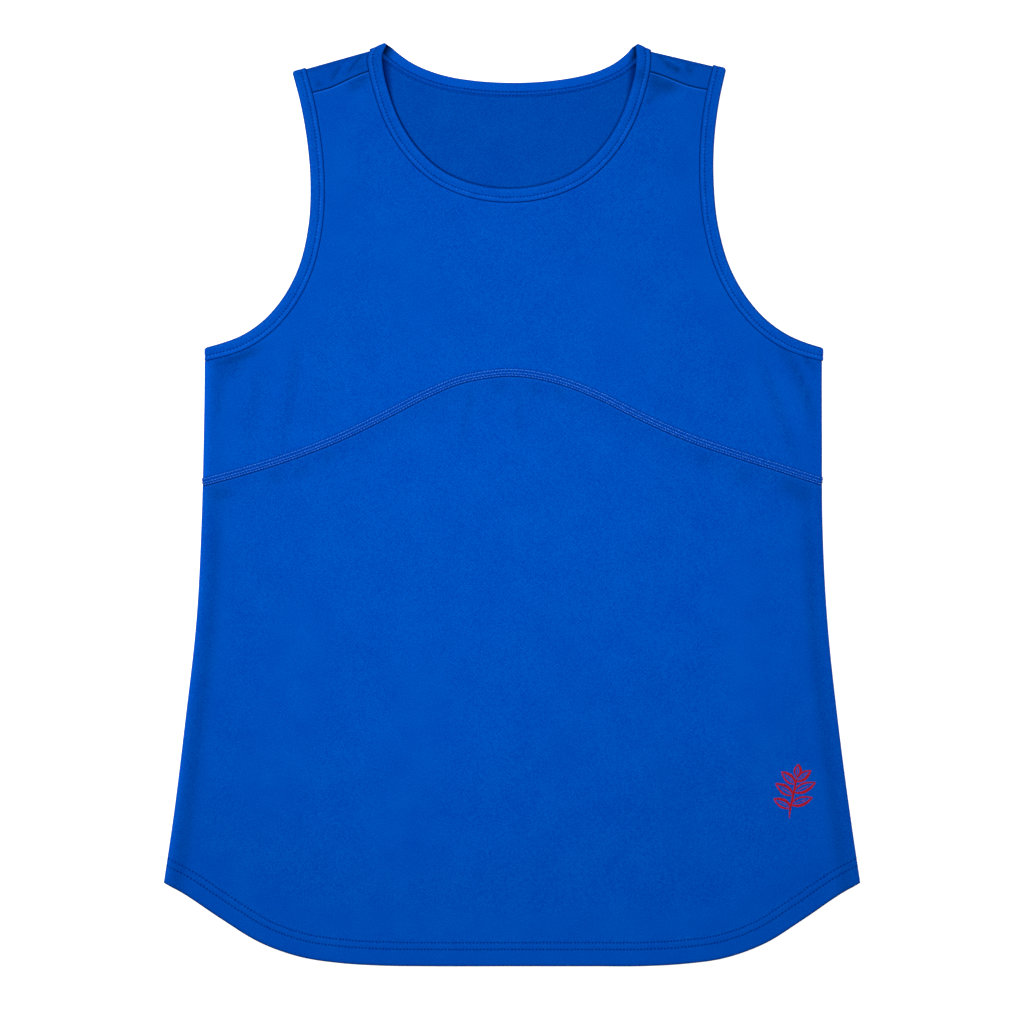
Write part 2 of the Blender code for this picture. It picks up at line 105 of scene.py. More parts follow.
def hermite(knots: Array, values: Array, at: Array) -> Array:
    """Values of a smooth curve: cubic pieces that share a value and a slope at each knot.

    Args:
        knots: rising parameters.
        values: one row for each knot.
        at: parameters to work out.

    Returns:
        One row for each parameter.
    """
    slopes = np.gradient(values, knots, axis=0)
    first = np.clip(np.searchsorted(knots, at, side="right") - 1, 0, len(knots) - 2)
    span = (knots[first + 1] - knots[first])[:, None]
    t = (at - knots[first])[:, None] / span
    start = (1 + 2 * t) * (1 - t) ** 2 * values[first] + t * (1 - t) ** 2 * span * slopes[first]
    end = t**2 * (3 - 2 * t) * values[first + 1] - t**2 * (1 - t) * span * slopes[first + 1]
    return start + end


def lengths(points: Array) -> Array:
    """Distance along a line of points at each of them."""
    return np.append(0.0, np.cumsum(np.linalg.norm(np.diff(points, axis=0), axis=1)))


def smooth(t: Array) -> Array:
    """Soft step: 3 t squared less 2 t cubed, from 0 at t = 0 to 1 at t = 1."""
    t = np.clip(t, 0, 1)
    return t * t * (3 - 2 * t)


def soft_step(value: Array, start: float, reach: float) -> Array:
    """Soft step of a length, which starts at the start and ends a reach on, in millimetres."""
    return smooth((value - start * MM) / (reach * MM))


def bell(distance: Array, width: float) -> Array:
    """Bell curve: e to the power of minus the square of distance over width."""
    return np.exp(-((distance / width) ** 2))


def unit(vectors: Array) -> Array:
    """Vectors of length one."""
    return vectors / np.linalg.norm(vectors, axis=-1, keepdims=True)


def quarter(vectors: Array) -> Array:
    """Vectors in plan, turned a quarter to the left."""
    return np.stack((-vectors[..., 1], vectors[..., 0]), axis=-1)


def left_normals(points: Array) -> Array:
    """Unit vectors to the left of a line of points in plan."""
    return unit(quarter(np.gradient(points, axis=0)))


def between(start: Array, end: Array, fractions: Array) -> Array:
    """Points on a straight line at fractions of its length."""
    return start + (end - start) * fractions[:, None]


def graded(steps: int, length: float, fine_start: bool, fine_end: bool) -> Array:
    """Fractions from 0 to 1: narrow steps beside each end that is a cut edge, even ones between.

    Args:
        steps: number of even steps.
        length: of the line, which sets the narrow steps.
        fine_start: whether the start is a cut edge.
        fine_end: whether the end is.

    Returns:
        Rising fractions that start at 0 and end at 1.
    """
    narrow = np.append(0.0, EDGE_STEPS) / length
    low = narrow if fine_start else np.zeros(1)
    high = 1 - (narrow[::-1] if fine_end else np.zeros(1))
    return np.concatenate((low, np.linspace(low[-1], high[0], steps + 1)[1:-1], high))


def sampled(at: Array, knots: Array, values: Array) -> Array:
    """Rows of values at places along a line, straight between its knots."""
    return np.column_stack([np.interp(at, knots, column) for column in values.T])


def resample(points: Array, *others: Array, step: float) -> list[Array]:
    """A line of points, and values along it, at even steps that fit its length.

    Args:
        points: the line.
        others: values at its points.
        step: rough length of a step.

    Returns:
        The line's points, and then each of the others.
    """
    at = lengths(points)
    count = max(int(round(at[-1] / step)), 1)
    return [sampled(np.linspace(0, at[-1], count + 1), at, line) for line in (points, *others)]


@dataclass(frozen=True)
class Outline:
    """A line of the pattern, kept for both halves of the garment at once.

    Each row is, in millimetres, (distance out from the centre line, drift of both halves to the right,
    height, how much higher the right half is than the mean).
    """

    rows: tuple[tuple[float, float, float, float], ...]

    def plan(self, side: Side) -> Array:
        """The rows' points in plan on one side."""
        out, drift, height, tilt = (np.array(self.rows) * MM).T
        return np.column_stack((side.value * out + drift, height + side.value * tilt))

    def curve(self, side: Side, fractions: Array, centred: bool = True) -> Array:
        """Points at fractions of the length of a smooth curve through the rows.

        Args:
            side: half of the garment.
            fractions: from 0 to 1.
            centred: whether the curve starts on the centre line and crosses it smoothly.

        Returns:
            Points in plan.
        """
        points = self.plan(side)
        through = points
        if centred:
            other = Side(-side.value)
            through = np.vstack((self.plan(other)[1], points))
        knots = lengths(through)
        knots -= knots[len(through) - len(points)]
        return hermite(knots / knots[-1], through, np.asarray(fractions, float))


HEM = Outline((
    (0, 0, -336.6, 0), (60, 0, -336.6, 0), (96, 0, -336.3, -0.2), (125, 0, -334.6, -0.3),
    (154.4, 0, -330.3, -0.5), (183.6, 0, -319.9, -0.5), (212.8, 0, -301.9, -0.3),
    (242, 0, -282.4, -0.1), (254.2, 0, -275.7, 0),
))
SIDE_SEAM = Outline((
    (254.2, 0, -275.7, 0), (247.5, 0, -230.5, 0), (238.2, -0.3, -157.5, 0), (230.3, -0.1, -84.5, 0),
    (226.6, 0, -11.5, 0), (225.7, 0.6, 46.9, 0), (225.3, 0.9, 92, 0), (225.3, 0.95, 104.6, 0),
))
CURVED_SEAM = Outline((
    (0, 0, 97.8, 0), (22, 0, 95.5, -0.35), (36, 0, 92.3, -0.65), (63.5, 0, 81.5, -0.4),
    (89.6, 0, 68.3, -0.15), (129, 0, 49.9, 0.55), (170, 0, 35.1, 1.2), (198, 0, 26.4, 1.1),
    (226, 0.3, 17.9, 0.3),
))
ARMHOLE = Outline((
    (223.9, 1.4, 114.9, 0), (214.3, 1.7, 117.7, 0), (199.7, 2.4, 123.5, 0), (183.7, 2.4, 134.5, 0),
    (170.6, 2.2, 149.1, 0), (158.2, 1.7, 171, 0), (150, 1, 200.2, 0), (147.1, 0, 236.7, 0),
    (148.6, -1, 265.9, 0), (153.1, -1.8, 295.1, 0), (158, -2, 315.5, 1.2),
))
NECK_FRONT = Outline((
    (0, -1.9, 230.7, 0), (28.7, -1.9, 234.8, 0), (49.8, -1.9, 244.3, 0), (67, -1.9, 260, 0),
    (79.7, -1.9, 279.4, 0), (88, -1.9, 300.9, 0), (92.3, -1.9, 320, 0), (92.6, -1.9, 328, 0),
    (90.6, -0.6, 335.5, -0.3),
))
NECK_BACK = Outline((
    (0, 1, 308, 0), (31.5, 1.1, 309.9, 0), (45.9, 1.1, 312.2, 0), (61, 1.5, 316.4, 0),
    (75.2, 1, 323.2, 0), (84.6, 0.3, 330.5, 0), (88.4, -0.5, 334.2, -0.2), (90.6, -0.6, 335.5, -0.3),
))
# Ends of the bindings' seam edges at their folds: underarm, armhole at the shoulder, neck there
SEAM_ENDS = Outline(((223.9, 1.4, 104.9, 0), (148.2, -1.9, 318.3, 1.05), (102.3, -1.3, 330.4, -0.2)))
# Heights in millimetres, and their tilt, where the forward shoulder seam meets the bindings
FORWARD_AT_ARM = (299.4, 1.3)
FORWARD_AT_NECK = (318.0, -0.2)
FORWARD_SAG = 1.6 * MM
FOLD_DROP = (1.1 * MM, 0.8 * MM)  # of the panel's fold below the ends of the two bindings' folds
YOKE_LEVEL = 150.0 * MM  # height on the centre line that is level with the underarm's row
BACK_LEVEL = 110.0 * MM
HEM_TURN = 0.75  # fraction of a half's width at which the hem's rows start to turn up the side
HEM_ROWS = (12.3 * MM, 17.3 * MM)  # depths of the two needle rows
HEM_MIDDLE = 8.5 * MM
HEM_END = 23.0 * MM  # depth of the last of the hem's rows
HEM_DEPTHS = np.array(
    (0, 0.07, 0.22, 0.45, 0.9, 2.5, 5, 8, 10.4, 11.3, 11.8, 12.2, 12.6, 13.1, 14.0,
     15.4, 16.3, 16.8, 17.2, 17.6, 18.1, 19.2, 21, 23)
) * MM


@dataclass
class Rim:
    """The outermost line of the side seams, and the turn of the cloth beside it."""

    samples: int = 400
    height: Array = field(init=False)
    x: dict[Side, Array] = field(default_factory=dict)
    slope: dict[Side, Array] = field(default_factory=dict)

    def __post_init__(self) -> None:
        """Sample both side lines densely, for straight interpolation."""
        self.height = np.linspace(SIDE_SEAM.rows[0][2], SIDE_SEAM.rows[-1][2], self.samples) * MM
        for side in Side:
            table = SIDE_SEAM.plan(side)
            self.x[side] = hermite(table[:, 1], table[:, :1], self.height)[:, 0]
            self.slope[side] = np.gradient(self.x[side], self.height)

    def line(self, side: Side, heights: Array) -> Array:
        """Points of the rim at heights."""
        return np.column_stack((np.interp(heights, self.height, self.x[side]), heights))

    def rise(self, side: Side, start: float, end: float, fractions: Array) -> Array:
        """Points of the rim at fractions of the way from one height to another."""
        return self.line(side, start + (end - start) * fractions)

    def inward(self, points: Array) -> tuple[Array, Array]:
        """Distance of each point inside its nearer rim, and the outward unit vector there.

        The distance is the gap in X times the cosine of the rim's lean.

        Args:
            points: in plan.

        Returns:
            Distances, below zero outside, and vectors.
        """
        x, y = points[..., 0], points[..., 1]
        right = x >= 0
        sign = np.where(right, 1.0, -1.0)
        rim, slope = (
            np.where(right, *(np.interp(y, self.height, kept[side]) for side in reversed(Side)))
            for kept in (self.x, self.slope)
        )
        out = unit(np.stack((np.ones_like(x), -slope), axis=-1)) * sign[..., None]
        return (rim - x) * out[..., 0], out


RIM = Rim()


def beside_line(points: Array, line: Array) -> Array:
    """Distances in plan from points to a line of straight stretches, above zero on its left.

    Args:
        points: in plan or in space.
        line: points in plan.

    Returns:
        One distance for each point.
    """
    along = np.diff(line, axis=0)
    reach = points[..., None, :2] - line[:-1]
    t = np.clip((reach * along).sum(-1) / (along**2).sum(-1), 0, 1)
    gap = np.linalg.norm(reach - t[..., None] * along, axis=-1)
    gap = np.where((reach * quarter(along)).sum(-1) < 0, -gap, gap)
    nearest = np.abs(gap).argmin(axis=-1)[..., None]
    return np.take_along_axis(gap, nearest, axis=-1)[..., 0]


def distance_to_line(points: Array, line: Array) -> Array:
    """Distances in plan from points to a line of straight stretches."""
    return np.abs(beside_line(points, line))


@dataclass(frozen=True)
class Binding:
    """Edges in plan of a stretch of binding: free, sewn, and the panel's edge beside it."""

    free: Array
    seam: Array

    @property
    def panel(self) -> Array:
        """The panel's edge, tucked into the binding's sewn edge."""
        return self.seam - SEAM_TUCK * unit(self.seam - self.free)

    def backwards(self) -> "Binding":
        """The same stretch from its end to its start."""
        return Binding(self.free[::-1], self.seam[::-1])

    def after(self, other: "Binding") -> "Binding":
        """The other half's stretch backwards to the centre line, and then this one."""
        ways = ((other.free, self.free), (other.seam, self.seam))
        return Binding(*(np.vstack((back[:0:-1], on)) for back, on in ways))


@dataclass
class Half:
    """The outlines of one half of the garment."""

    side: Side
    low_arm_steps: int = 26
    neck_steps: int = 44
    flap_steps: int = 10
    back_neck_steps: int = 40
    ease: float = 25.0 * MM  # length over which a binding's seam edge comes to its given end
    bend_middle: float = 0.28  # of the forward seam's bend, as parts of its length
    bend_reach: float = 0.4
    above: int = field(init=False)  # rows of the bindings above the forward seam
    armhole: Binding = field(init=False)
    neck: Binding = field(init=False)
    back_neck: Binding = field(init=False)

    def __post_init__(self) -> None:
        """Work out the bindings' edges on this side."""
        side = self.side
        underarm, shoulder, neck = SEAM_ENDS.plan(side)
        arm = self.stations(ARMHOLE, FORWARD_AT_ARM, self.low_arm_steps + self.neck_steps, False)
        self.armhole = self.bind(ARMHOLE.curve(side, arm, False), side.value, underarm, shoulder)
        front = self.stations(NECK_FRONT, FORWARD_AT_NECK, self.neck_steps, True)
        self.above = self.flap_steps + len(EDGE_STEPS)
        self.neck = self.neckline(NECK_FRONT, front, neck)
        self.back_neck = self.neckline(NECK_BACK, np.linspace(0, 1, self.back_neck_steps + 1), neck)

    def stations(self, outline: Outline, height: tuple, steps: int, centred: bool) -> Array:
        """Fractions along a binding, with one where the forward shoulder seam meets it.

        Args:
            outline: the binding's free edge.
            height: of the meeting point and its tilt, in millimetres.
            steps: below that point.
            centred: whether the outline starts on the centre line.

        Returns:
            Rising fractions, narrow beside the meeting point.
        """
        level = (height[0] + self.side.value * height[1]) * MM
        meets = np.interp(level, outline.curve(self.side, DENSE, centred)[:, 1], DENSE)
        length = lengths(outline.plan(self.side))[-1]
        below = meets * graded(steps, length * meets, False, True)
        above = meets + (1 - meets) * graded(self.flap_steps, length * (1 - meets), True, False)
        return np.append(below, above[1:])

    def bind(self, free: Array, inward: int, start: Array, end: Array) -> Binding:
        """A stretch of binding of even width whose seam edge has given ends.

        Each end is moved to its place, and the edge beside it by the square of what is left of the
        ease.

        Args:
            free: its free edge.
            inward: 1 where the cloth is to the left of it, and -1 to the right.
            start: seam edge's start.
            end: and its end.

        Returns:
            Both edges.
        """
        seam = free + inward * BINDING_WIDTH * left_normals(free)
        along = lengths(free)
        for fixed, here, away in ((start, seam[0], along), (end, seam[-1], along[-1] - along)):
            seam = seam + (fixed - here) * np.clip(1 - away / self.ease, 0, 1)[:, None] ** 2
        return Binding(free, seam)

    def neckline(self, outline: Outline, fractions: Array, end: Array) -> Binding:
        """A stretch of neck binding from the centre line to the shoulder fold."""
        free = outline.curve(self.side, fractions)
        return self.bind(free, -self.side.value, free[0] - (0.0, BINDING_WIDTH), end)

    def to_rim(self, outline: Outline, columns: Array) -> Array:
        """The columns' points on a line from the centre to the rim."""
        inside = RIM.inward(outline.curve(self.side, DENSE))[0]
        return outline.curve(self.side, np.interp(0.0, -inside, DENSE) * columns)

    def hem_lines(self, columns: Array, depths: Array) -> Array:
        """Rows of the hem parallel to its edge, which turn to follow the side seam.

        Each row is the edge moved along the inward normal, which swings towards the side seam's
        direction over the last quarter of the width.

        Args:
            columns: fractions of the way out to the rim.
            depths: distances in from the edge.

        Returns:
            Points in plan, a row for each depth.
        """
        edge = self.to_rim(HEM, columns)
        inward = self.side.value * left_normals(edge)
        inward[0] = (0.0, 1.0)
        out = RIM.inward(edge[-1])[1]
        up_side = self.side.value * quarter(out)
        turn = np.clip((columns - HEM_TURN) / (1 - HEM_TURN), 0, 1)[:, None]
        direction = unit((1 - turn) * inward + turn * up_side)
        direction /= (direction * inward).sum(axis=1, keepdims=True)
        return edge + depths[:, None, None] * direction

    def seam_line(self, columns: Array, offset: float) -> Array:
        """The curved seam moved up the front by an offset."""
        line = self.to_rim(CURVED_SEAM, columns)
        normals = self.side.value * left_normals(line)
        normals[0] = (0.0, 1.0)
        return line + offset * normals

    def forward_line(self, columns: Array, offset: float) -> Array:
        """The forward shoulder seam from neck to armhole, moved up by an offset.

        It leaves the straight line in a shallow S: up beside the neck, then down.
        """
        ends = [edge.panel[-1 - self.above] for edge in (self.neck, self.armhole)]
        line = between(ends[0], ends[1], columns)
        lean = np.minimum((columns - self.bend_middle) / self.bend_reach, 1.0)
        line[:, 1] -= FORWARD_SAG * 4 * columns * (1 - columns) * lean
        return line + offset * self.side.value * left_normals(line)


HALVES = tuple(Half(side) for side in Side)


def across_garment(line: Callable[[Half], Array]) -> Array:
    """A line from the left rim to the right one, from one that starts at the centre."""
    left, right = (line(half) for half in HALVES)
    return np.vstack((left[:0:-1], right))


def thick_lines() -> list[tuple[Array, float]]:
    """Lines under which cloth is folded or turned, each with half the width of that cloth."""
    hem, side, binding, shoulder = 11.5 * MM, 3 * MM, 7 * MM, 20 * MM
    few = np.linspace(0, 1, 30)
    lines = []
    for half in HALVES:
        lines.append((half.to_rim(HEM, few) + (0.0, HEM_MIDDLE), hem))
        lines.append((RIM.line(half.side, np.linspace(*RIM.height[[0, -1]], 24)), side))
        for edge in (half.armhole, half.back_neck):
            lines.append(((edge.free + edge.seam)[::3] / 2, binding))
        lines.append((np.array((half.neck.free[-1], half.armhole.free[-1])), shoulder))
    return lines


@dataclass(frozen=True)
class Crease:
    """A soft ridge, or a trough where its height is below zero, along a bowed line."""

    start: tuple[float, float]
    end: tuple[float, float]
    width: float
    height: float
    bow: float = 0.0
    even: float = 0.2  # part of its length that is even, to either side of the middle
    fade: float = 0.28  # width of the bell past it

    def relief(self, points: Array) -> Array:
        """Height of the crease at points in plan: a bell across it times one past its middle.

        All its sizes are in millimetres. The bow is how far its middle lies to the left.

        Args:
            points: in plan.

        Returns:
            A height for each.
        """
        start, end = np.array(self.start) * MM, np.array(self.end) * MM
        along = end - start
        length = np.linalg.norm(along)
        along /= length
        offset = points[..., :2] - start
        t = (offset @ along) / length
        across = offset @ quarter(along) - self.bow * MM * 4 * t * (1 - t)
        fade = bell(np.maximum(np.abs(t - 0.5) - self.even, 0.0), self.fade)
        return self.height * MM * bell(across, self.width * MM) * fade


# Start, end, width, height and, where there is one, bow of each crease, in millimetres
FRONT_CREASES = tuple(Crease(*row) for row in (
    # under the right armhole, fanning down from the binding
    ((194.5, 119), (223, 52), 4.6, -0.4, 5.5), ((207, 108), (224, 62), 3.2, 0.34, 3),
    ((186, 112), (213, 44), 4.8, 0.34, 3), ((181, 112), (210, 27), 5, -0.18, -1.5),
    ((173, 112), (196, 44), 5, 0.3, -2), ((212, 110), (223, 97), 2.2, -0.48),
    # under the left armhole
    ((-218, 103), (-184, 114.5), 3.2, -0.56, -2), ((-216, 94), (-196, 101), 5, -0.28),
    ((-156, 118), (-167, 40), 5, -0.17), ((-147, 120), (-157, 50), 5, 0.16),
    ((-167, 112), (-179, 46), 5, 0.2), ((-183, 100), (-192, 46), 5, -0.12),
    ((-202, 90), (-208, 56), 5, 0.14), ((-213, 92), (-215, 62), 4, -0.18),
    # below the right shoulder seam, beside the neck
    ((98.5, 308.5), (121.5, 304), 5.6, -0.72), ((97, 292.5), (107, 301), 2.6, -0.34),
    ((112, 296), (130, 297.5), 4.5, 0.24), ((100, 315), (110, 313), 2.4, -0.45),
    # below the left shoulder seam, beside the neck
    ((-104, 314), (-119, 303), 3.8, -0.44), ((-104, 305), (-112, 294), 4, 0.18),
    # small puckers below the curved seam
    ((-29, 86), (-36.5, 48), 3.2, -0.18), ((-8, 90), (-9, 80), 4, -0.16),
    ((16, 89), (17, 79), 5, -0.18), ((31, 86), (39, 76.5), 2.6, -0.2), ((4, 84), (7, 50), 4, -0.12),
    ((-136, 40), (-134, 30), 5, -0.18), ((-155, 29), (-152, 20), 5, -0.18),
    ((-173, 26), (-171, 14), 5.5, -0.2), ((141, 38), (140, 28), 5.5, -0.2),
    ((170, 27), (168, 15), 5.5, -0.18), ((196, 18), (218, 3), 7, -0.44),
    ((-221, 6), (-204, 10), 5.5, -0.26),
    # long soft undulations of the lower front
    ((-150, -60), (-190, -240), 26, 0.34, 6), ((-60, -90), (-82, -290), 30, 0.22, -5),
    ((40, -40), (30, -250), 34, -0.2, 6), ((95, -120), (140, -290), 26, -0.2, -4),
    ((170, -20), (192, -200), 24, 0.26, -5), ((-95, 215), (-60, 110), 24, 0.2, 5),
    ((60, 190), (100, 90), 26, 0.18, -4),
))
FLAP_CREASES = tuple(Crease(*row) for row in (
    ((-125, 320.5), (-132, 310), 1.7, -0.46), ((-114, 326.5), (-126, 312), 1.8, 0.34, -0.8),
    ((-107.5, 328.5), (-120.3, 313.5), 1.3, -0.55, -1.1), ((-106.5, 322), (-113.5, 317), 3, -0.2),
    ((-139, 309), (-142, 305), 2.4, -0.34), ((112, 323.5), (124, 315.5), 2, -0.5),
    ((112, 327), (125, 318.5), 1.7, 0.32), ((106.5, 328.7), (116, 317.3), 1, -0.48),
    ((127, 321), (131.5, 314.5), 2.2, -0.46), ((119, 319.5), (121, 315.5), 2.4, -0.36),
))
BACK_CREASES = tuple(Crease(*row) for row in (
    ((-196, 112), (-215, 44), 4, 0.34, 3), ((-176, 112), (-198, 40), 4.6, 0.28, 2),
    ((188, 112), (205, 48), 4.4, 0.3, -2), ((205, 108), (216, 60), 3.6, 0.26, -2),
    ((-60, 180), (-90, -60), 26, 0.22, 7), ((70, 150), (96, -110), 28, 0.22, -6),
    ((-140, -80), (-170, -250), 24, 0.24, 6), ((20, -60), (8, -270), 30, 0.2, 5),
    ((150, -70), (182, -240), 24, 0.24, -6),
))


@dataclass
class Lie:
    """How the cloth lies: heights of its faces and of its creases over the plan."""

    deepest: float = 0.75 * MM  # trough of the front
    lift: float = 0.6 * MM  # most that the back rises over a crease
    thick: list[tuple[Array, float]] = field(default_factory=thick_lines)

    def near_side(self, points: Array) -> Array:
        """Part of its height that a crease keeps near the side seam: none within 2 mm of it."""
        return soft_step(RIM.inward(points)[0], 2, 7)

    def side_ridge(self, points: Array) -> Array:
        """Ridge over the seam allowance and a dip past it, both weaker above the curved seam.

        The ridge is 0.42 mm high from 3.6 to 6.5 mm inside the rim, and the dip 0.22 mm deep 11.5 mm
        inside it.
        """
        inside = RIM.inward(points)[0]
        below = soft_step(-points[..., 1], -16, 20)
        rise = soft_step(inside, 1.4, 2.2) * soft_step(-inside, -10.5, 4)
        dip = bell(inside - 11.5 * MM, 3.0 * MM)
        return (0.35 + 0.65 * below) * (0.42 * rise - 0.22 * dip) * MM

    def tension(self, points: Array) -> Array:
        """Sum of the front's creases, held off the side seams."""
        return sum(crease.relief(points) for crease in FRONT_CREASES) * self.near_side(points)

    def shade(self, points: Array) -> Array:
        """The front's creases as their painted shade darkens it: one wider than 5 mm counts for less."""
        parts = (crease.relief(points) * min(1.0, 5.0 / crease.width) for crease in FRONT_CREASES)
        return sum(parts) * self.near_side(points)

    def creases(self, points: Array) -> Array:
        """The front's creases, held out of the layer below."""
        return np.maximum(self.tension(points), -self.deepest)

    def front(self, points: Array) -> Array:
        """Height of the front's outer face: its level over what lies below it, plus creases."""
        near = np.min([distance_to_line(points, line) - reach for line, reach in self.thick], axis=0)
        level = HIGH - (HIGH - LOW) * smooth(near / SETTLE)
        return level + WALL + self.side_ridge(points) + self.creases(points)

    def flap(self, points: Array) -> Array:
        """Height of the outer face of the back's flap on the front."""
        return HIGH + WALL + sum(crease.relief(points) for crease in FLAP_CREASES)

    def back(self, points: Array) -> Array:
        """Height of the back's outer face, which lifts off the surface over its creases."""
        relief = sum(crease.relief(points) for crease in BACK_CREASES)
        return np.clip(relief * self.near_side(points), 0, self.lift)


LIE = Lie()


def place(points: Array, outer: Array, height: Array | float, layer: Layer) -> tuple[Array, Array]:
    """Points of a layer in space, turned down or up at the side seam.

    A point further out than the turn's start goes round an arc: its angle is the distance past the
    start over the radius of the cloth's middle.

    Args:
        points: in plan, on the flat pattern.
        outer: height of the layer's outer face over each point.
        height: of each point outwards from that face.
        layer: which layer they belong to.

    Returns:
        The points in space, and the outward unit vectors there.
    """
    inside, out = RIM.inward(points)
    angle = np.clip((SIDE_RADIUS - inside) / SIDE_MIDDLE, 0, np.pi / 2)
    reach = SIDE_RADIUS + height
    moved = inside - np.where(angle > 0, SIDE_RADIUS - reach * np.sin(angle), inside)
    z = outer - layer.value * (SIDE_RADIUS - reach * np.cos(angle))
    normal = np.concatenate(
        (out * np.sin(angle)[..., None], layer.value * np.cos(angle)[..., None]), axis=-1
    )
    return np.concatenate((points + out * moved[..., None], z[..., None]), axis=-1), normal


def inside_out(points: Array, quads: Array, outward: Array) -> bool:
    """Whether the cross products of the quads' diagonals look against the outward vectors.

    Args:
        points: of the mesh.
        quads: of point numbers.
        outward: vector at each point.

    Returns:
        Whether most of them do.
    """
    corners = points[quads]
    faces = np.cross(corners[:, 2] - corners[:, 0], corners[:, 3] - corners[:, 1])
    return (faces * outward[quads[:, 0]]).sum() < 0


@dataclass
class Sheet:
    """An open sheet of quads with its points midway through the cloth."""

    points: Array
    outward: Array
    wall: Array
    # painted light and shade at each point, multiplied into the cloth's colour
    tone: Array
    maps: Array
    quads: Array

    INNER_FACE_SHADE = 0.86  # painted shade over the inner face, which lies in shade
    BLOCK = 800  # points whose distances are worked out at once

    @classmethod
    def grid(cls, points: Array, outward: Array, wall: Array, tone: Array, maps: Array) -> "Sheet":
        """A sheet from a grid of rows and columns, its quads wound to face outwards.

        The maps are the stitch coordinates and, after them, those of the shade if there are any.

        Args:
            points: in space.
            outward: vector at each.
            wall: thickness.
            tone: painted light and shade.
            maps: coordinates.

        Returns:
            The sheet.
        """
        rows, columns = points.shape[:2]
        index = np.arange(rows * columns).reshape(rows, columns)
        quads = np.stack((index[:-1, :-1], index[:-1, 1:], index[1:, 1:], index[1:, :-1]), axis=-1)
        quads = quads.reshape(-1, 4)
        flat = [np.broadcast_to(a, points.shape[:2] + a.shape[2:]) for a in (wall, tone, maps)]
        wall, tone, maps = (a.reshape(rows * columns, *a.shape[2:]) for a in flat)
        points, outward = points.reshape(-1, 3), outward.reshape(-1, 3)
        if inside_out(points, quads, outward):
            quads = quads[:, ::-1]
        return cls(points, outward, wall, tone, maps, quads)

    @classmethod
    def sewn(cls, sheets: list["Sheet"]) -> "Sheet":
        """One sheet from several that share the points where they meet.

        Args:
            sheets: the parts.

        Returns:
            The whole.
        """
        starts = np.cumsum([0] + [len(sheet.points) for sheet in sheets[:-1]])
        quads = np.vstack([sheet.quads + start for sheet, start in zip(sheets, starts)])
        joined = [
            np.concatenate([getattr(sheet, name) for sheet in sheets])
            for name in ("points", "outward", "wall", "tone", "maps")
        ]
        keys = np.round(joined[0] / (0.002 * MM)).astype(np.int64)
        first, where = np.unique(keys, axis=0, return_index=True, return_inverse=True)[1:]
        return cls(*(values[first] for values in joined), where.reshape(-1)[quads])

    def boundary(self) -> Array:
        """Edges, as pairs of points, that only one quad uses."""
        edges = np.stack((self.quads, np.roll(self.quads, -1, axis=1)), axis=-1).reshape(-1, 2)
        ordered = np.sort(edges, axis=1)
        first, counts = np.unique(ordered, axis=0, return_index=True, return_counts=True)[1:]
        return edges[first[counts == 1]]

    def from_edge(self, edges: Array) -> Array:
        """Distance in space from each point to the nearest boundary edge, in blocks.

        Args:
            edges: pairs of point numbers.

        Returns:
            A distance for each point.
        """
        start = self.points[edges[:, 0]]
        along = self.points[edges[:, 1]] - start
        square = (along**2).sum(-1)

        def block(points: Array) -> Array:
            """Distances of one block of points."""
            reach = points[:, None] - start
            t = np.clip((reach * along).sum(-1) / square, 0, 1)
            return np.sqrt(((reach - t[..., None] * along) ** 2).sum(-1).min(axis=1))

        parts = np.array_split(self.points, max(len(self.points) // self.BLOCK, 1))
        return np.concatenate([block(part) for part in parts])

    def shell(self, edge: float = 0.36) -> tuple[Array, Array, Array, Array]:
        """Close the sheet into a wall with half-round edges.

        Half the wall at distance d from the edge is the root of d times (2 r - d) for the edge's radius
        r, and r further in. The cloth gets painted shade over the last 0.8 mm before an edge, with a
        painted highlight as a lip behind, and painted shade over its inner face. A shade's strength above
        zero is for the outer face, and below zero for the inner one.

        Args:
            edge: how much darker the painted shade makes the cloth at its cut and folded edges.

        Returns:
            Points, quads, painted light and shade, and maps of the shell.
        """
        edges = self.boundary()
        radius = self.wall / 2
        distance = self.from_edge(edges)
        near = np.minimum(distance, radius)
        half = np.sqrt(near * (2 * radius - near))[:, None] * self.outward
        # painted shade over the last 0.8 mm before each cut or folded edge, and a painted highlight lip
        # 1.4 mm in
        tone = self.tone * (1 - edge * (1 - smooth(distance / (0.8 * MM))))
        tone *= 1 + 0.08 * bell(distance - 1.4 * MM, 0.7 * MM)
        outer, inner = self.maps.copy(), self.maps.copy()
        outer[:, 3:], inner[:, 3:] = np.maximum(outer[:, 3:], 0), np.maximum(-inner[:, 3:], 0)
        count = len(self.points)
        below = np.arange(count) + count
        rim = np.unique(edges)
        below[rim] = rim
        quads = np.vstack((self.quads, below[self.quads][:, ::-1]))
        used, where = np.unique(quads, return_inverse=True)
        points = np.vstack((self.points + half, self.points - half))[used]
        # painted shade over the whole inner face
        tone = np.concatenate((tone, tone * self.INNER_FACE_SHADE))[used]
        return points, where.reshape(quads.shape), tone, np.vstack((outer, inner))[used]


def patch(inner: Array, outer: Array, bottom: Array, top: Array, columns: Array) -> Array:
    """Rows of points between four edges, blended as a Coons patch.

    Straight lines join the inner and outer edges, and what the bottom and top edges differ from the
    first and last of those lines fades out over the other way.

    Args:
        inner: edge on the side of the centre line.
        outer: edge on the side of the rim, with as many points.
        bottom: edge from the inner one to the outer one.
        top: edge opposite it.
        columns: fractions of the way across.

    Returns:
        Points in plan, in rows and columns.
    """
    middle = lengths((inner + outer) / 2)
    v = (middle / middle[-1])[:, None, None]
    u = columns[None, :, None]
    low = (1 - u) * inner[0] + u * outer[0]
    high = (1 - u) * inner[-1] + u * outer[-1]
    across = (1 - u) * inner[:, None] + u * outer[:, None]
    return across + (1 - v) * (bottom - low) + v * (top - high)


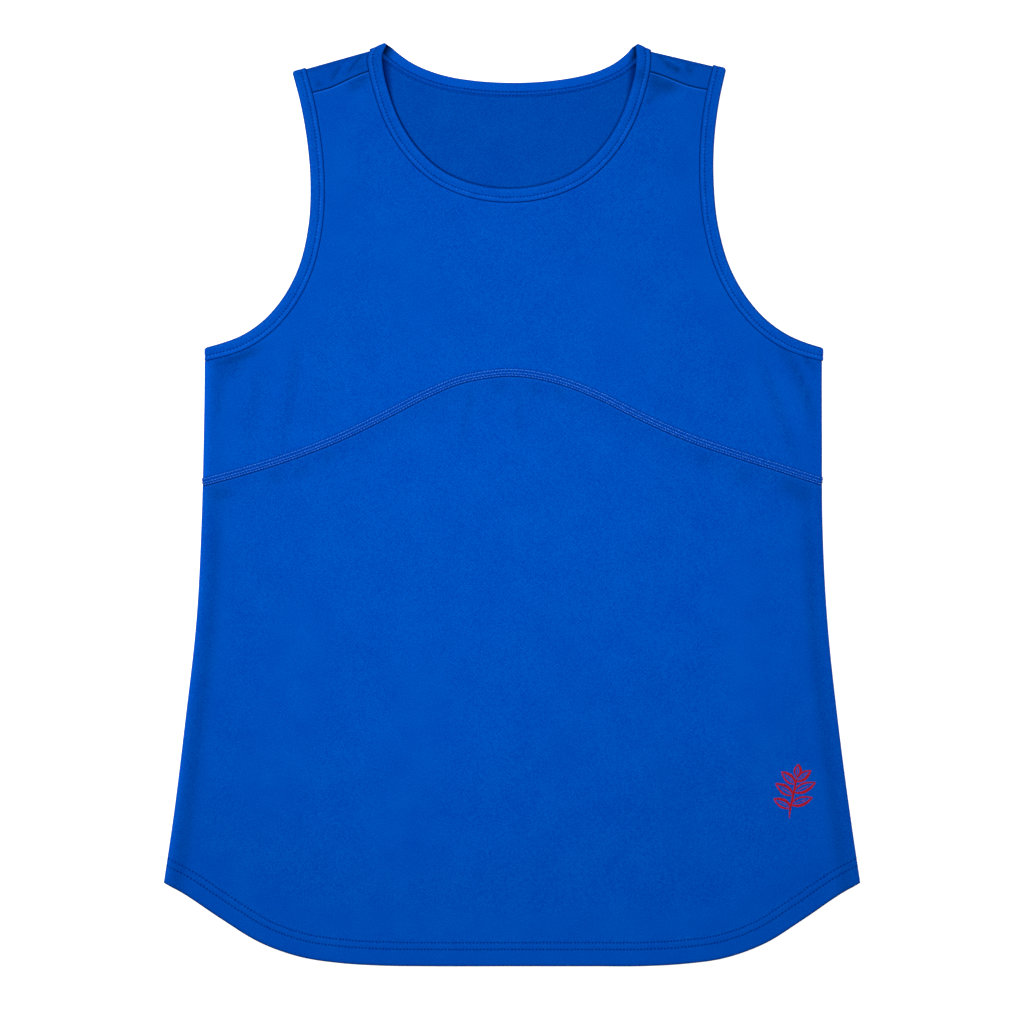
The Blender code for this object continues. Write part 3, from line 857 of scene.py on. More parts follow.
def painted_crease_shading(relief: Array) -> Array:
    """Painted shade of a crease: darker by 0.45 for each 0.75 mm of a trough, and a painted highlight a
    little lighter on top.
    """
    part = relief / (0.75 * MM)
    return 1 - 0.45 * np.clip(-part, 0, 1.7) + 0.10 * np.clip(part, 0, 1)


def painted_rim_light(points: Array) -> Array:
    """Painted light and shade where the cloth turns down at a side seam: a painted highlight on the left,
    painted shade on the right.
    """
    inside = RIM.inward(points)[0]
    left = points[..., 0] < 0
    lit = 1 + 0.18 * bell(inside - 1.2 * MM, 1.8 * MM)
    return np.where(left, lit, 1 - 0.5 * bell(inside, 0.5 * MM))


def painted_hem_shade(depth: Array) -> Array:
    """Painted shade along the hem's folded edge: a dark bell 0.85 mm wide."""
    return 1 - 0.85 * bell(depth, 0.85 * MM)


def from_forward(points: Array) -> Array:
    """Distance from the nearer forward shoulder seam."""
    columns = np.linspace(0, 1, 40)
    return np.minimum(*(distance_to_line(points, h.forward_line(columns, 0.0)) for h in HALVES))


def painted_forward_seam_shade(points: Array) -> Array:
    """Painted shade in the forward shoulder seams: a dark bell across each."""
    return 1 - 0.5 * bell(from_forward(points), 0.7 * MM)


def neck_shade(points: Array) -> Array:
    """Shadow of the front's neck binding on the back, behind it.

    It is 1.8 mm wide low in the opening and 8 mm wide at the left shoulder, 7 mm at the right one, and
    darker there and on the left.

    Args:
        points: in plan.

    Returns:
        Distance from the binding's free edge in widths of the shadow, and the strength.
    """
    gap = beside_line(points, across_garment(lambda half: half.neck.free))
    high = soft_step(points[..., 1], 290, 32)
    across = np.array((-90, -60, 0, 60, 90)) * MM
    low = np.interp(points[..., 0], across, (0.98, 0.92, 0.42, 0.62, 0.66))
    top = np.interp(points[..., 0], across, (1.0, 1.0, 0.95, 0.95, 0.95))
    right = points[..., 0] > 0
    reach = 1.8 + np.where(right, 5.2, 6.2) * high
    reach *= 1 - 0.5 * right * soft_step(points[..., 1], 325, 8)
    return np.stack((gap / (reach * MM), low + (top - low) * high), axis=-1)


def drawn_in(depth: Array, points: Array) -> Array:
    """How far the hem's needle rows draw the face in: a bell across each, none at the sides."""
    drawn = sum(bell(depth - row, 0.9 * MM) for row in HEM_ROWS)
    return 0.18 * MM * drawn * soft_step(RIM.inward(points)[0], 1.5, 5)


def hem_wall(depth: Array, points: Array) -> Array:
    """Thickness over the hem: two layers, drawn in at the needle rows, then one layer."""
    folded = 1 - soft_step(depth, 15, 6)
    side = soft_step(RIM.inward(points)[0], 1.5, 5)
    return WALL + (HEM_THICK - WALL) * folded * side - drawn_in(depth, points)


@dataclass
class Panel:
    """A cut piece of cloth, made as one grid for each half of the garment."""

    def half_sheet(self, half: Half) -> Sheet:
        """One half of the panel."""
        raise NotImplementedError

    def sheet(self) -> Sheet:
        """Both halves, sewn at the centre line."""
        return Sheet.sewn([self.half_sheet(half) for half in HALVES])

    @staticmethod
    def on_front(flat: Array, outer: Array, wall: Array, tone: Array, maps: Array) -> Sheet:
        """A sheet of the front from its flat pattern and the height of its outer face.

        Args:
            flat: its points in plan.
            outer: height of its outer face over each.
            wall: thickness.
            tone: painted light and shade of its own.
            maps: coordinates for stitches and shades.

        Returns:
            The sheet, with painted shade of the creases and painted light and shade beside the side seams
            as well.
        """
        points, outward = place(flat, outer, -wall / 2, Layer.FRONT)
        # painted shade in crease troughs, beside the side seams and at the right rims; painted highlights
        # on crease tops and at the left rims
        tone = tone * painted_crease_shading(LIE.shade(flat)) * seam_shade(flat) * painted_rim_light(flat)
        return Sheet.grid(points, outward, wall, tone, maps)

    @staticmethod
    def inner_edge(foot: Array, level: float, side_rows: Array, neck: Array, rows: int,
                   length: float) -> Array:
        """Edge up the centre line and round the neck, with as many rows as the outer edge.

        Args:
            foot: its lower end.
            level: height on the centre line where the side seam's rows end.
            side_rows: fractions of the way up the side seam.
            neck: the panel's edge beside the neck binding.
            rows: number of points.
            length: from the level to the neck, for the rows beside the neck.

        Returns:
            Points in plan.
        """
        turn = np.array((neck[0, 0] / 2, level))
        steps = rows - len(side_rows) - len(neck) - len(EDGE_STEPS) + 1
        rise = between(turn, neck[0], graded(steps, length, False, True))
        return np.vstack((between(foot, turn, side_rows), rise[1:], neck[1:]))

    def hem_stitch(self, half: Half, rows: Array) -> Array:
        """Stitch coordinates: stitches along the hem from the centre, and millimetres up.

        Args:
            half: which the rows are on.
            rows: points in plan.

        Returns:
            Two coordinates for each point.
        """
        along = half.side.value * lengths(rows[0]) / STITCH
        above = HEM_END + lengths(rows[len(HEM_DEPTHS) - 1:, 0])[1:]
        depth = np.append(HEM_DEPTHS, above)[:, None] / MM
        return np.stack(np.broadcast_arrays(along, depth), axis=-1)


@dataclass
class FrontBody(Panel):
    """The front below the curved seam, with its turned-up hem."""

    steps: int = 104
    columns: Array = field(default_factory=lambda: graded(74, 240 * MM, False, True))
    seam_samples: int = 80

    def flat(self, half: Half) -> Array:
        """Flat rows: parallel to the hem first, then blended up to the curved seam.

        Args:
            half: on which they lie.

        Returns:
            Points in plan, in rows and columns.
        """
        hem = half.hem_lines(self.columns, HEM_DEPTHS)
        top = half.seam_line(self.columns, -SEAM_GAP / 2)
        rows = graded(self.steps, 300 * MM, False, True)
        inner = between(hem[-1, 0], top[0], rows)
        outer = RIM.rise(half.side, hem[-1, -1, 1], top[-1, 1], rows)
        outer[0], outer[-1] = hem[-1, -1], top[-1]
        return np.vstack((hem[:-1], patch(inner, outer, hem[-1], top, self.columns)))

    def half_sheet(self, half: Half) -> Sheet:
        """One half, thicker over the hem and a little darker just below the curved seam.

        Args:
            half: which one.

        Returns:
            The sheet.
        """
        flat = self.flat(half)
        stitch = self.hem_stitch(half, flat)
        depth = stitch[..., 1] * MM
        wall = hem_wall(depth, flat)
        curved = across_garment(lambda h: h.seam_line(np.linspace(0, 1, self.seam_samples), 0))
        below = -beside_line(flat, curved)
        # painted shade along the hem's folded edge, and the cloth a little darker just below the curved
        # seam
        tone = painted_hem_shade(depth) * (1 - 0.07 * (1 - soft_step(below, 4, 26)))
        maps = np.dstack((stitch, below / MM, np.ones(below.shape)))
        return self.on_front(flat, LIE.front(flat) + wall - WALL, wall, tone, maps)


def seam_shade(points: Array) -> Array:
    """Painted shade beside the side seams, where the seam allowance ends under the cloth.

    It is a bell across a line 10.3 mm inside the seam, which deepens down from the curved seam.
    """
    inside = RIM.inward(points)[0]
    below = soft_step(-points[..., 1], -30, 70)
    above = np.where(points[..., 0] < 0, 0.25, 0.10)
    return 1 - 0.205 * bell(inside - 10.3 * MM, 5.2 * MM) * (above + (1 - above) * below)


@dataclass
class FrontYoke(Panel):
    """The front above the curved seam, up to the forward shoulder seams."""

    side_steps: int = 30
    columns: Array = field(default_factory=lambda: graded(52, 120 * MM, True, True))

    def flat(self, half: Half) -> Array:
        """Flat rows: up the side seam first, then round the armhole beside the neck.

        Args:
            half: on which they lie.

        Returns:
            Points in plan, in rows and columns.
        """
        bottom = half.seam_line(self.columns, SEAM_GAP / 2)
        top = half.forward_line(self.columns, -SEAM_GAP / 2)
        side_rows = graded(self.side_steps, 90 * MM, True, False)
        side = RIM.rise(half.side, bottom[-1, 1], RIM.height[-1], side_rows)
        outer = np.vstack((side, half.armhole.panel[1:-half.above]))
        inner = self.inner_edge(bottom[0], YOKE_LEVEL, side_rows, half.neck.panel[:-half.above],
                                len(outer), 80 * MM)
        outer[0], inner[-1], outer[-1] = bottom[-1], top[0], top[-1]
        return patch(inner, outer, bottom, top, self.columns)

    def half_sheet(self, half: Half) -> Sheet:
        """One half, with painted shade in the forward shoulder seam."""
        flat = self.flat(half)
        wall, one = np.full(flat.shape[:2], WALL), np.ones(flat.shape[:2])
        maps = np.stack((-one, -one, from_forward(flat) / MM, one), axis=-1)
        # painted shade in the forward shoulder seam
        return self.on_front(flat, LIE.front(flat), wall, painted_forward_seam_shade(flat), maps)


@dataclass
class Back(Panel):
    """The back, which wraps over the shoulders and ends in a flap on the front."""

    steps: int = 96
    columns: Array = field(default_factory=lambda: graded(56, 140 * MM, True, True))
    fold_steps: int = 10
    fold_radius: float = (HIGH + WALL) / 2
    row_drop: float = 0.45 * MM  # least step of the flap's rows beside the neck
    # painted shade over the turn at the shoulder fold and over the whole flap
    painted_turn_shade: float = 0.8
    painted_flap_shade: float = 0.92
    painted_fold_shade: float = 0.85  # painted shade of the flap's first two rows, beside the fold

    def flat(self, half: Half) -> Array:
        """Flat rows from the hem to the shoulder fold.

        Args:
            half: on which they lie.

        Returns:
            Points in plan, in rows and columns.
        """
        hem = half.hem_lines(self.columns, HEM_DEPTHS)
        side_rows = np.linspace(0, 1, self.steps + 1)
        side = RIM.rise(half.side, hem[-1, -1, 1], RIM.height[-1], side_rows)
        outer = np.vstack((side, half.armhole.panel[1:]))
        outer[0] = hem[-1, -1]
        inner = self.inner_edge(hem[-1, 0], BACK_LEVEL, side_rows, half.back_neck.panel,
                                len(outer), 190 * MM)
        inner[-1, 1] -= FOLD_DROP[0]
        outer[-1, 1] -= FOLD_DROP[1]
        fold = between(inner[-1], outer[-1], self.columns)
        return np.vstack((hem[:-1], patch(inner, outer, hem[-1], fold, self.columns)))

    def flap(self, half: Half, fold: Array) -> Array:
        """Flat rows from the shoulder fold down to the forward seam.

        Beside the neck each row lies at least the row's drop below the one before, so that the flap never
        doubles back over the fold.

        Args:
            half: on which they lie.
            fold: last row before the shoulder fold.

        Returns:
            Points in plan, in rows and columns.
        """
        inner = half.neck.panel[-1 - half.above:][::-1].copy()
        outer = half.armhole.panel[-1 - half.above:][::-1].copy()
        seam = half.forward_line(self.columns, SEAM_GAP / 2)
        inner[0], outer[0] = fold[0], fold[-1]
        out = self.beyond(half, fold)
        beyond = (inner - fold[0]) @ out + self.row_drop * np.arange(len(inner))
        inner -= np.maximum(beyond, 0)[:, None] * out
        inner[-1], outer[-1] = seam[0], seam[-1]
        return patch(inner, outer, fold, seam, self.columns)

    @staticmethod
    def beyond(half: Half, fold: Array) -> Array:
        """Unit vector out of the garment at the shoulder fold."""
        return half.side.value * unit(quarter(fold[-1] - fold[0]))

    def half_sheet(self, half: Half) -> Sheet:
        """One half: flat, then half a turn over the shoulder fold, then the flap.

        The turn carries the fold's row round an arc of the cloth's middle radius.

        Args:
            half: which one.

        Returns:
            The sheet.
        """
        flat = self.flat(half)
        stitch = self.hem_stitch(half, flat)
        depth = stitch[..., 1] * MM
        wall = hem_wall(depth, flat)
        points, outward = place(flat, LIE.back(flat) + drawn_in(depth, flat), -wall / 2, Layer.BACK)
        flap = self.flap(half, flat[-1])
        top = LIE.flap(flap)
        top[0] = HIGH + WALL
        angles = np.linspace(0, np.pi, self.fold_steps + 1)[1:-1, None, None]
        up = np.array((0.0, 0.0, 1.0))
        arc_out = np.sin(angles) * np.append(self.beyond(half, flat[-1]), 0.0) - np.cos(angles) * up
        middle = points[-1] * (1.0, 1.0, 0.0) + self.fold_radius * up
        arc = middle + (self.fold_radius - WALL / 2) * arc_out
        grid = np.vstack((points, arc, np.dstack((flap, top - WALL / 2))))
        ways = (arc_out, arc.shape), (up, flap.shape[:2] + (3,))
        normals = np.vstack((outward, *(np.broadcast_to(*way) for way in ways)))
        rest = (len(grid) - len(flat), flat.shape[1])
        # painted shade and highlights of the flap's creases, painted shade in its forward seam and over
        # the whole flap
        over = painted_crease_shading(top - HIGH - WALL) * painted_forward_seam_shade(flap) * self.painted_flap_shade
        over[:2] *= self.painted_fold_shade
        tone = np.vstack((painted_hem_shade(depth), np.full(arc.shape[:2], self.painted_turn_shade), over))
        maps = np.dstack((stitch, neck_shade(flat) * (1.0, -1.0)))
        plain = np.broadcast_to((-1.0, -1.0, 0.0, 0.0), rest + (4,))
        walls = np.vstack((wall, np.full(rest, WALL)))
        return Sheet.grid(grid, normals, walls, tone, np.vstack((maps, plain)))


@dataclass
class Strands:
    """Round or flattened threads gathered into one mesh."""

    points: list[Array] = field(default_factory=list)
    faces: list[list[int]] = field(default_factory=list)
    count: int = 0
    oval: int = 6  # points round a thread
    per_stitch: int = 6  # and along each of its stitches
    per_zigzag: int = 8
    dive: float = 0.45 * MM  # depth to which a needle's thread goes down a hole
    bulge: float = 0.15 * MM  # height to which a looper's thread rises between two rows

    def add(self, path: Array, outward: Array, across: Array | float, up: float, sides: int,
            closed: bool = False) -> None:
        """Carry an oval along a path.

        Each ring's point at angle a is the path's, plus the sideways vector times the cosine of a times
        the across radius, plus the upward one times the sine times the up radius.

        Args:
            path: points in space.
            outward: vectors that give the oval's upward side.
            across: sideways radius, for the whole path or at each point.
            up: upward radius.
            sides: points in a ring.
            closed: whether the path's end joins its start.
        """
        if closed:
            along = np.roll(path, -1, axis=0) - np.roll(path, 1, axis=0)
        else:
            along = np.gradient(path, axis=0)
        sideways = unit(np.cross(along, outward))
        upward = unit(np.cross(sideways, along))
        angles = np.linspace(0, 2 * np.pi, sides, endpoint=False)
        radii = np.broadcast_to(across, (len(path),))[:, None, None]
        rings = path[:, None] + sideways[:, None] * np.cos(angles)[None, :, None] * radii
        rings = rings + upward[:, None] * np.sin(angles)[None, :, None] * np.minimum(radii, up)
        rows = len(path)
        row = np.arange(rows if closed else rows - 1)[:, None] * sides
        step = np.arange(sides)[None]
        turn = (step + 1) % sides
        ahead = (row + sides) % (rows * sides)
        quads = np.stack((row + step, ahead + step, ahead + turn, row + turn), axis=-1)
        self.points.append(rings.reshape(-1, 3))
        self.faces += (quads.reshape(-1, 4) + self.count).tolist()
        self.count += rows * sides
        if not closed:
            self.points.append(path[[0, -1]])
            first, last = np.arange(sides), np.arange(sides) + (rows - 1) * sides
            low = np.column_stack((first, np.roll(first, -1), np.full(sides, rows * sides)))
            high = np.column_stack((np.roll(last, -1), last, np.full(sides, rows * sides + 1)))
            self.faces += (np.vstack((low, high)) + self.count - rows * sides).tolist()
            self.count += 2

    def needle(self, line: Array, outward: Array, stitches: Array, closed: bool = False,
               radius: float = THREAD, rise: float = 0.02 * MM, slant: float = 0.0,
               plunge: float = 0.17) -> None:
        """A row of needle stitches: the thread lies on the cloth and dives at each hole.

        Its height is the rise less a bell round each hole, as deep as the dive.

        Args:
            line: points on the cloth's face.
            outward: vectors out of it.
            stitches: number of stitches up to each point.
            closed: whether the row's end joins its start.
            radius: of the thread.
            rise: height of the thread's middle between holes.
            slant: how far each stitch crosses to the side.
            plunge: part of a stitch that dives at either end.
        """
        first, last = np.array((stitches[0], stitches[-1])) * self.per_stitch
        steps = np.arange(np.ceil(first), np.floor(last) + 1)
        steps = (steps[:-1] if closed else steps) / self.per_stitch
        path, up = (sampled(steps, stitches, values) for values in (line, outward))
        phase = steps % 1
        dive = bell(np.minimum(phase, 1 - phase), plunge)
        sideways = unit(np.cross(up, np.gradient(path, axis=0)))
        path = path + (rise - self.dive * dive)[:, None] * up
        path += (slant * (phase - 0.5))[:, None] * sideways
        self.add(path, up, radius, radius, self.oval, closed)

    def zigzag(self, line: Array, outward: Array, reach: float, radius: float,
               phase: float = 0.0, stitch: float = STITCH) -> None:
        """A looper thread that crosses from one needle row to the next and back.

        Its offset to the side is the reach times a triangle wave, a stitch long, and its height bulges
        halfway between the rows.

        Args:
            line: points midway between the rows.
            outward: vectors out of the cloth.
            reach: half the distance between the rows.
            radius: of the thread.
            phase: part of a stitch by which it starts late.
            stitch: length of a stitch.
        """
        sideways = np.cross(outward, np.gradient(line, axis=0))
        count = max(int(round(lengths(line)[-1] / stitch)), 1)
        step = lengths(line)[-1] / (count * self.per_zigzag)
        line, sideways, outward = resample(line, sideways, outward, step=step)
        turn = (np.arange(len(line)) / self.per_zigzag + phase) % 1
        wave = 1 - 4 * np.abs(turn - 0.5)
        path = line + (reach * wave)[:, None] * unit(sideways)
        path = path + (self.bulge * (1 - wave**2) - 0.05 * MM)[:, None] * outward
        self.add(path, outward, radius, radius, self.oval)


@dataclass
class BindingBand:
    """A folded binding as a closed band with a rounded, slightly pillowed cross-section."""

    ACROSS = np.array((0, 0.05, 0.17, 0.36, 0.62, 1.0, 1.6, 2.6, 3.8, 5.0, 5.7, 6.1, 6.4, 6.7,
                       7.1, 7.7, 8.4, 9.0, 9.5, 9.85, 10.12, 10.32, 10.42, 10.45)) * MM
    RING = 2 * len(ACROSS) - 2  # points round the cross-section

    front: Binding  # edges of the stretch on the front
    back: Binding  # and of the one under the back, which runs the other way
    sides: tuple[Side, Side]  # halves of the garment on which they end
    fold_steps: int = 10
    needle_row: float = 6.5 * MM
    inside_rows: tuple[float, float] = (6.7 * MM, 9.2 * MM)
    looks_down: float = -0.3  # upward part of the outward vectors of the stretch under the back
    creasing: float = 0.6  # part of the creases' height that the binding follows
    sewn_round: float = 0.62  # radius of the sewn edge, as a part of the free edge's
    pillow: float = 0.09 * MM
    drawn: float = 0.20 * MM
    thinner: float = 0.05 * MM
    shoulder: float = 250 * MM  # height on the garment past which a fold is at a shoulder
    free: Array = field(init=False)
    seam: Array = field(init=False)
    outward: Array = field(init=False)
    stitches: Array = field(init=False)

    def __post_init__(self) -> None:
        """Join the two flat stretches and their folds into one ring."""
        stretches = (
            self.flat(self.front, Layer.FRONT), self.fold(self.front, self.sides[0], True),
            self.flat(self.back, Layer.BACK), self.fold(self.back, self.sides[1], False),
        )
        self.free, self.seam, self.outward = (np.vstack(part) for part in zip(*stretches))
        along = self.line(self.needle_row)
        closed = lengths(np.vstack((along, along[:1])))
        self.stitches = closed / closed[-1] * round(closed[-1] / STITCH)

    def flat(self, edges: Binding, layer: Layer) -> tuple[Array, Array, Array]:
        """Free edge, seam edge and outward vectors of a stretch that lies on its layer."""
        front = layer is Layer.FRONT
        level = FOLDED / 2 + front * HIGH
        free, seam = (np.column_stack((edge, level + front * self.creasing * LIE.creases(edge)))
                      for edge in (edges.free, edges.seam))
        return free, seam, np.broadcast_to((0.0, 0.0, float(layer.value)), free.shape)

    def fold(self, edges: Binding, side: Side, down: bool) -> tuple[Array, Array, Array]:
        """Half a turn at a stretch's end: its last row goes round an arc of the middle radius.

        Args:
            edges: of the stretch.
            side: half of the garment on which it ends.
            down: whether the arc goes from the front to the back.

        Returns:
            Free edge, seam edge and outward vectors.
        """
        free, seam = edges.free[-1], edges.seam[-1]
        out = unit(quarter(seam - free))
        shoulder = (free + seam)[1] / 2 > self.shoulder
        if (out[1] if shoulder else out[0] * side.value) < 0:
            out = -out
        angles = np.linspace(0, np.pi, self.fold_steps + 1)[1:-1, None]
        sweep = angles if down else angles[::-1]
        outward = np.hstack((np.sin(sweep) * out, np.cos(sweep)))
        centre = (HIGH + FOLDED) / 2
        free, seam = (np.append(edge, centre) + BINDING_RADIUS * outward for edge in (free, seam))
        drawn = CORNER * np.append(unit(edges.seam[-1] - edges.free[-1]), 0.0)
        return free + np.sin(sweep) * drawn, seam, outward

    def half_wall(self, across: Array) -> Array:
        """Half the thickness: round at both edges, pillowed and drawn in at the needle row.

        Beside an edge it is the root of d times (2 r - d), for the distance d and a radius r.

        Args:
            across: distances from the free edge.

        Returns:
            Half the thickness at each.
        """
        edge = np.minimum(across, BINDING_WIDTH - across)
        radius = FOLDED / 2 * np.where(across < BINDING_WIDTH / 2, 1.0, self.sewn_round)
        near = np.minimum(edge, radius)
        rounded = np.sqrt(near * (2 * radius - near)) / radius
        pillow = self.pillow * np.sin(np.pi * np.clip(across / self.needle_row, 0, 1))
        drawn = self.drawn * bell(across - self.needle_row, 0.75 * MM)
        return (FOLDED / 2 - self.thinner) * rounded + pillow - drawn

    def line(self, across: float, inside: bool = False) -> Array:
        """The closed line at a distance from the free edge, on a face of the band."""
        face = -1 if inside else 1
        rise = self.half_wall(np.array(across))
        t = across / BINDING_WIDTH
        return self.free + t * (self.seam - self.free) + face * rise * self.outward

    def inner_face(self) -> Array:
        """Which of the mesh's points lie on the inner face or on an edge."""
        column = np.arange(len(self.free) * self.RING) % self.RING
        return (column == 0) | (column >= len(self.ACROSS) - 1)

    def mesh(self) -> tuple[Array, Array, Array]:
        """Points, quads and stitch coordinates of each quad's corners."""
        across = np.concatenate((self.ACROSS, self.ACROSS[-2:0:-1]))
        face = np.where(np.arange(self.RING) < len(self.ACROSS), 1.0, -1.0)
        t = (across / BINDING_WIDTH)[:, None]
        points = self.free[:, None] * (1 - t) + self.seam[:, None] * t
        points = points + (self.half_wall(across) * face)[:, None] * self.outward[:, None]
        rows = len(points)
        row, column = (
            first[..., None] + steps
            for first, steps in zip(np.indices((rows, self.RING)), ((0, 1, 1, 0), (0, 0, 1, 1)))
        )
        quads = (row % rows * self.RING + column % self.RING).reshape(-1, 4)
        signed = np.append(across * face, 0.0) / MM
        stitch = np.stack((self.stitches[row], signed[column]), axis=-1).reshape(-1, 4, 2)
        points = points.reshape(-1, 3)
        lean = np.repeat(self.outward, self.RING, axis=0) * np.tile(face, rows)[:, None]
        if inside_out(points, quads, lean):
            quads, stitch = quads[:, ::-1], stitch[:, ::-1]
        return points, quads, stitch

    def stitching(self, inside: bool) -> Strands:
        """The needle row on the outer face and, behind the neck, the loopers that show there.

        Args:
            inside: whether the inner face shows.

        Returns:
            The threads.
        """
        made = Strands()
        line = self.line(self.needle_row)
        line, outward = (np.vstack((a, a[:1])) for a in (line, self.outward))
        made.needle(line, outward, self.stitches, closed=True)
        if inside:
            behind = self.outward[:, 2] < self.looks_down
            low, up = self.inside_rows
            line = self.line((low + up) / 2, inside=True)[behind]
            outward = -self.outward[behind]
            for phase in (0.0, 0.5):
                made.zigzag(line, outward, (up - low) / 2, 0.15 * MM, phase=phase)
            for row in self.inside_rows:
                line = self.line(row, inside=True)[behind]
                made.needle(line, outward, lengths(line) / STITCH, radius=0.15 * MM)
        return made


@dataclass
class HemStitching:
    """Two needle rows round the hem, on the front and on the back."""

    samples: int = 240
    front_rise: float = 0.02 * MM
    back_rise: float = -0.1 * MM

    def strands(self) -> Strands:
        """The threads of both rows on both layers."""
        made, columns = Strands(), np.linspace(0, 1, self.samples)
        edge = across_garment(lambda half: half.hem_lines(columns, np.zeros(1))[0])
        stitches = lengths(edge)
        stitches = (stitches - np.interp(0.0, edge[:, 0], stitches)) / STITCH
        for depth in HEM_ROWS:
            row = np.array((depth,))
            line = across_garment(lambda half: half.hem_lines(columns, row)[0])
            deep = np.full(len(line), depth)
            front = LIE.front(line) + hem_wall(deep, line) - WALL
            back = LIE.back(line) + drawn_in(deep, line)
            faces = (front, Layer.FRONT, self.front_rise), (back, Layer.BACK, self.back_rise)
            for outer, layer, rise in faces:
                points, outward = place(line, outer, 0.0, layer)
                made.needle(points, outward, stitches, rise=rise)
        return made


@dataclass
class FlatlockSeam:
    """The band that covers the curved seam: lapped cloth under cover stitches."""

    needle_rows: tuple[float, ...] = (-4.35 * MM, -2.5 * MM, -0.4 * MM, 1.85 * MM)
    # place, radius and slant in millimetres of the paler threads
    chains: tuple = ((-3.3, 0.23, 0.5), (-1.55, 0.28, -0.4), (0.8, 0.29, 0.6))
    low: float = -4.55 * MM
    up: float = 2.0 * MM
    thick: float = 0.55 * MM
    drawn: float = 0.24 * MM
    samples: int = 200
    plan: Array = field(init=False)
    normals: Array = field(init=False)
    stitches: Array = field(init=False)

    def __post_init__(self) -> None:
        """Lay out the band's line over the front, from side seam to side seam."""
        columns = np.linspace(0, 1, self.samples)
        self.plan = across_garment(lambda half: half.to_rim(CURVED_SEAM, columns))
        self.normals = left_normals(self.plan)
        self.stitches = lengths(self.plan) / COVER_STITCH

    def wall(self, across: Array) -> Array:
        """Thickness across the band: drawn in by a bell at each needle row."""
        drawn = sum(bell(across - row, 0.42 * MM) for row in self.needle_rows)
        return self.thick - self.drawn * drawn

    def on_front(self, across: float, height: Array | float) -> tuple[Array, Array]:
        """The line moved up the front, at a height over it: points and outward vectors."""
        flat = self.plan + across * self.normals
        return place(flat, LIE.front(flat), height, Layer.FRONT)

    def band(self) -> Sheet:
        """The band's cloth as a sheet that lies on the front."""
        narrow = EDGE_STEPS[:3] * 0.5
        inner = np.linspace(self.low + 0.35 * MM, self.up - 0.35 * MM, 31)
        across = np.concatenate(([self.low], self.low + narrow, inner, self.up - narrow[::-1], [self.up]))
        flat = self.plan[:, None] + across[None, :, None] * self.normals[:, None]
        wall = np.broadcast_to(self.wall(across), flat.shape[:2])
        points, outward = place(flat, LIE.front(flat), 0.02 * MM + wall / 2, Layer.FRONT)
        stitch = np.stack(np.broadcast_arrays(self.stitches[:, None], across / MM), axis=-1)
        return Sheet.grid(points, outward, wall, np.ones(flat.shape[:2]), stitch)

    def strands(self) -> tuple[Strands, Strands]:
        """The thin threads that cross between the rows, and the paler ones that form them."""
        crossing, chains = Strands(), Strands()
        for low, up in zip(self.needle_rows[:-1], self.needle_rows[1:]):
            points, outward = self.on_front((low + up) / 2, self.thick)
            crossing.zigzag(points, outward, (up - low) / 2, 0.13 * MM, stitch=COVER_STITCH)
        for number, (row, radius, slant) in enumerate(self.chains):
            points, outward = self.on_front(row * MM, self.thick)
            chains.needle(points, outward, self.stitches + number / 3, radius=radius * MM,
                          rise=0.10 * MM, slant=slant * MM, plunge=0.24)
        return crossing, chains


@dataclass
class SprigPrint:
    """A small transfer print beside the hem: a sprig of seven leaves drawn in brush strokes."""

    centre: tuple[float, float] = (206.6 * MM, -209.0 * MM)
    thick: float = 0.07 * MM
    # base on the stem, direction in degrees, length and width of each leaf in millimetres
    leaves: tuple = (
        ((-3.4, -12.0), 152.0, 14.0, 5.4), ((-3.2, -9.6), 18.0, 16.5, 5.6),
        ((-1.6, -3.0), 146.0, 15.5, 5.6), ((-1.2, -0.6), 24.0, 17.5, 5.8),
        ((0.0, 5.2), 138.0, 13.5, 5.2), ((0.4, 7.4), 36.0, 13.5, 5.0),
        ((1.2, 10.4), 84.0, 9.5, 4.6),
    )
    stem: tuple = ((-4.4, -19.5), (-3.9, -14.0), (-2.2, -6.0), (-0.6, 2.0), (0.8, 8.0), (1.2, 10.4))

    def stroke(self, made: Strands, line: Array, width: float) -> None:
        """One stroke of the print, thin at both ends: its width follows a sine's root.

        Args:
            made: strands that it joins.
            line: points in millimetres from the print's centre.
            width: in millimetres.
        """
        line = resample(line * MM + self.centre, step=0.35 * MM)[0]
        points, outward = place(line, LIE.front(line), self.thick / 2, Layer.FRONT)
        t = np.linspace(0.04, 0.96, len(line))
        made.add(points, outward, width * MM / 2 * np.sqrt(np.sin(np.pi * t)), self.thick, 10)

    def strands(self) -> Strands:
        """The stem, and two sides and a rib for each leaf.

        A leaf's side bows out from its rib by half its width times a sine of the place along it.
        """
        made = Strands()
        stem = np.array(self.stem)
        knots = lengths(stem)
        self.stroke(made, hermite(knots, stem, np.linspace(0, knots[-1], 60)), 1.7)
        t = np.linspace(0, 1, 40)[:, None]
        for base, turn, length, width in self.leaves:
            along = np.array((np.cos(np.radians(turn)), np.sin(np.radians(turn))))
            rib = np.array(base) + along * length * t
            bow = quarter(along) * width / 2 * np.sin(np.pi * t**0.85)
            self.stroke(made, rib + bow, 1.4)
            self.stroke(made, rib - bow, 2.1)
            self.stroke(made, rib[5:28], 0.5)
        return made


def linear(colour: str) -> tuple[float, float, float, float]:
    """Linear colour from an sRGB hex value such as "#0050BF", with full alpha."""
    srgb = np.array([int(colour[i:i + 2], 16) for i in (1, 3, 5)]) / 255
    values = np.where(srgb <= 0.04045, srgb / 12.92, ((srgb + 0.055) / 1.055) ** 2.4)
    return (*values.tolist(), 1.0)


